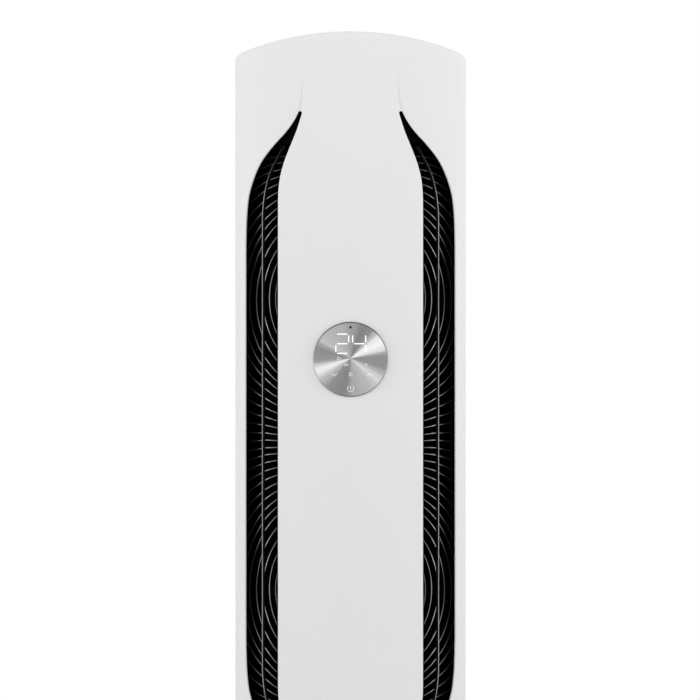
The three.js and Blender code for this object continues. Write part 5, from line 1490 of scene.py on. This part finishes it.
# %% Finish the kept parts
SOFT_EDGE = 0.0003  # metres
kept = {
    "coil_bends_top": copper, "coil_bends_bottom": copper, "gas_flare_nut": brass, "liquid_flare_nut": brass,
    "lower_deck": sheet_steel, "upper_deck": sheet_steel, "control_box": sheet_steel,
    "control_box_lid": sheet_steel, "control_board": circuit_board, "display_board": circuit_board,
    "display_holder": black_plastic, "terminal_block": base_plastic, "drain_pan": base_plastic,
    "filter_rail_top": grey_plastic, "filter_rail_bottom": grey_plastic,
}
kept_pairs = {
    "upright": sheet_steel, "fan_motor": motor_steel, "fan_bearing": rubber, "vane_link": grey_plastic,
    "vane_motor": grey_plastic, "scroll": dark_plastic, "duct_wall": dark_plastic,
}
for name, look in kept_pairs.items():
    kept.update({f"{name}_{side_name(side)}": look for side in (-1, 1)})
for name, look in kept.items():
    part = nodes[name]
    for slot in part.material_slots:
        slot.material = look
    soft = part.modifiers.new("soft_edges", "BEVEL")
    soft.width = SOFT_EDGE
    soft.segments = 2
    soft.limit_method = "ANGLE"
    soft.angle_limit = math.radians(40)
print("kept parts:", len(kept))

# %% [markdown]
# ## Floor
# A pale round floor catches the soft shadow. Far out it turns into plain white light, so its edge never
# shows against the white studio.

# %% Floor
FLOOR_STEPS, FLOOR_Z = 96, -0.0002  # metres, as the rings are
rings = [0.02, 0.2, 0.4, 0.8, 1.4, 2.2, 3.2]
points = np.vstack([np.column_stack([circle(r, FLOOR_STEPS), np.full(FLOOR_STEPS, FLOOR_Z)]) for r in rings])
mesh = bpy.data.meshes.new("studio_floor")
mesh.from_pydata(points.tolist(), [], ring_faces(len(rings), FLOOR_STEPS) + [tuple(range(FLOOR_STEPS))])
floor = bpy.data.objects.new("studio_floor", mesh)
bpy.context.collection.objects.link(floor)
pale = bpy.data.materials.new("pale_floor")
pale.use_nodes = True
tree = pale.node_tree
shader = tree.nodes["Principled BSDF"]
shader.inputs["Roughness"].default_value = 0.9
shader.inputs["Specular IOR Level"].default_value = 0.1
place = tree.nodes.new("ShaderNodeTexCoord")
grain = node_of(tree, "ShaderNodeTexNoise", Scale=180, Detail=3)
mix = node_of(tree, "ShaderNodeMix")
mix.data_type = "RGBA"
mix.inputs[6].default_value, mix.inputs[7].default_value = tone(228), tone(233)
tree.links.new(place.outputs["Object"], grain.inputs["Vector"])
tree.links.new(grain.outputs[0], mix.inputs[0])
tree.links.new(mix.outputs[2], shader.inputs["Base Color"])
length = tree.nodes.new("ShaderNodeVectorMath")
length.operation = "LENGTH"
tree.links.new(place.outputs["Object"], length.inputs[0])
far = node_of(tree, "ShaderNodeMapRange", From_Min=0.5, From_Max=1.6)
tree.links.new(length.outputs["Value"], far.inputs["Value"])
share = tree.nodes.new("ShaderNodeMath")
share.operation = "MULTIPLY"
tree.links.new(looking_rays(tree), share.inputs[0])
tree.links.new(far.outputs[0], share.inputs[1])
glow = node_of(tree, "ShaderNodeEmission", Color=(1, 1, 1, 1), Strength=1)
joint = tree.nodes.new("ShaderNodeMixShader")
tree.links.new(share.outputs[0], joint.inputs[0])
tree.links.new(shader.outputs[0], joint.inputs[1])
tree.links.new(glow.outputs[0], joint.inputs[2])
tree.links.new(joint.outputs[0], tree.nodes["Material Output"].inputs["Surface"])
mesh.materials.append(pale)
print("floor radius:", rings[-1], "m")
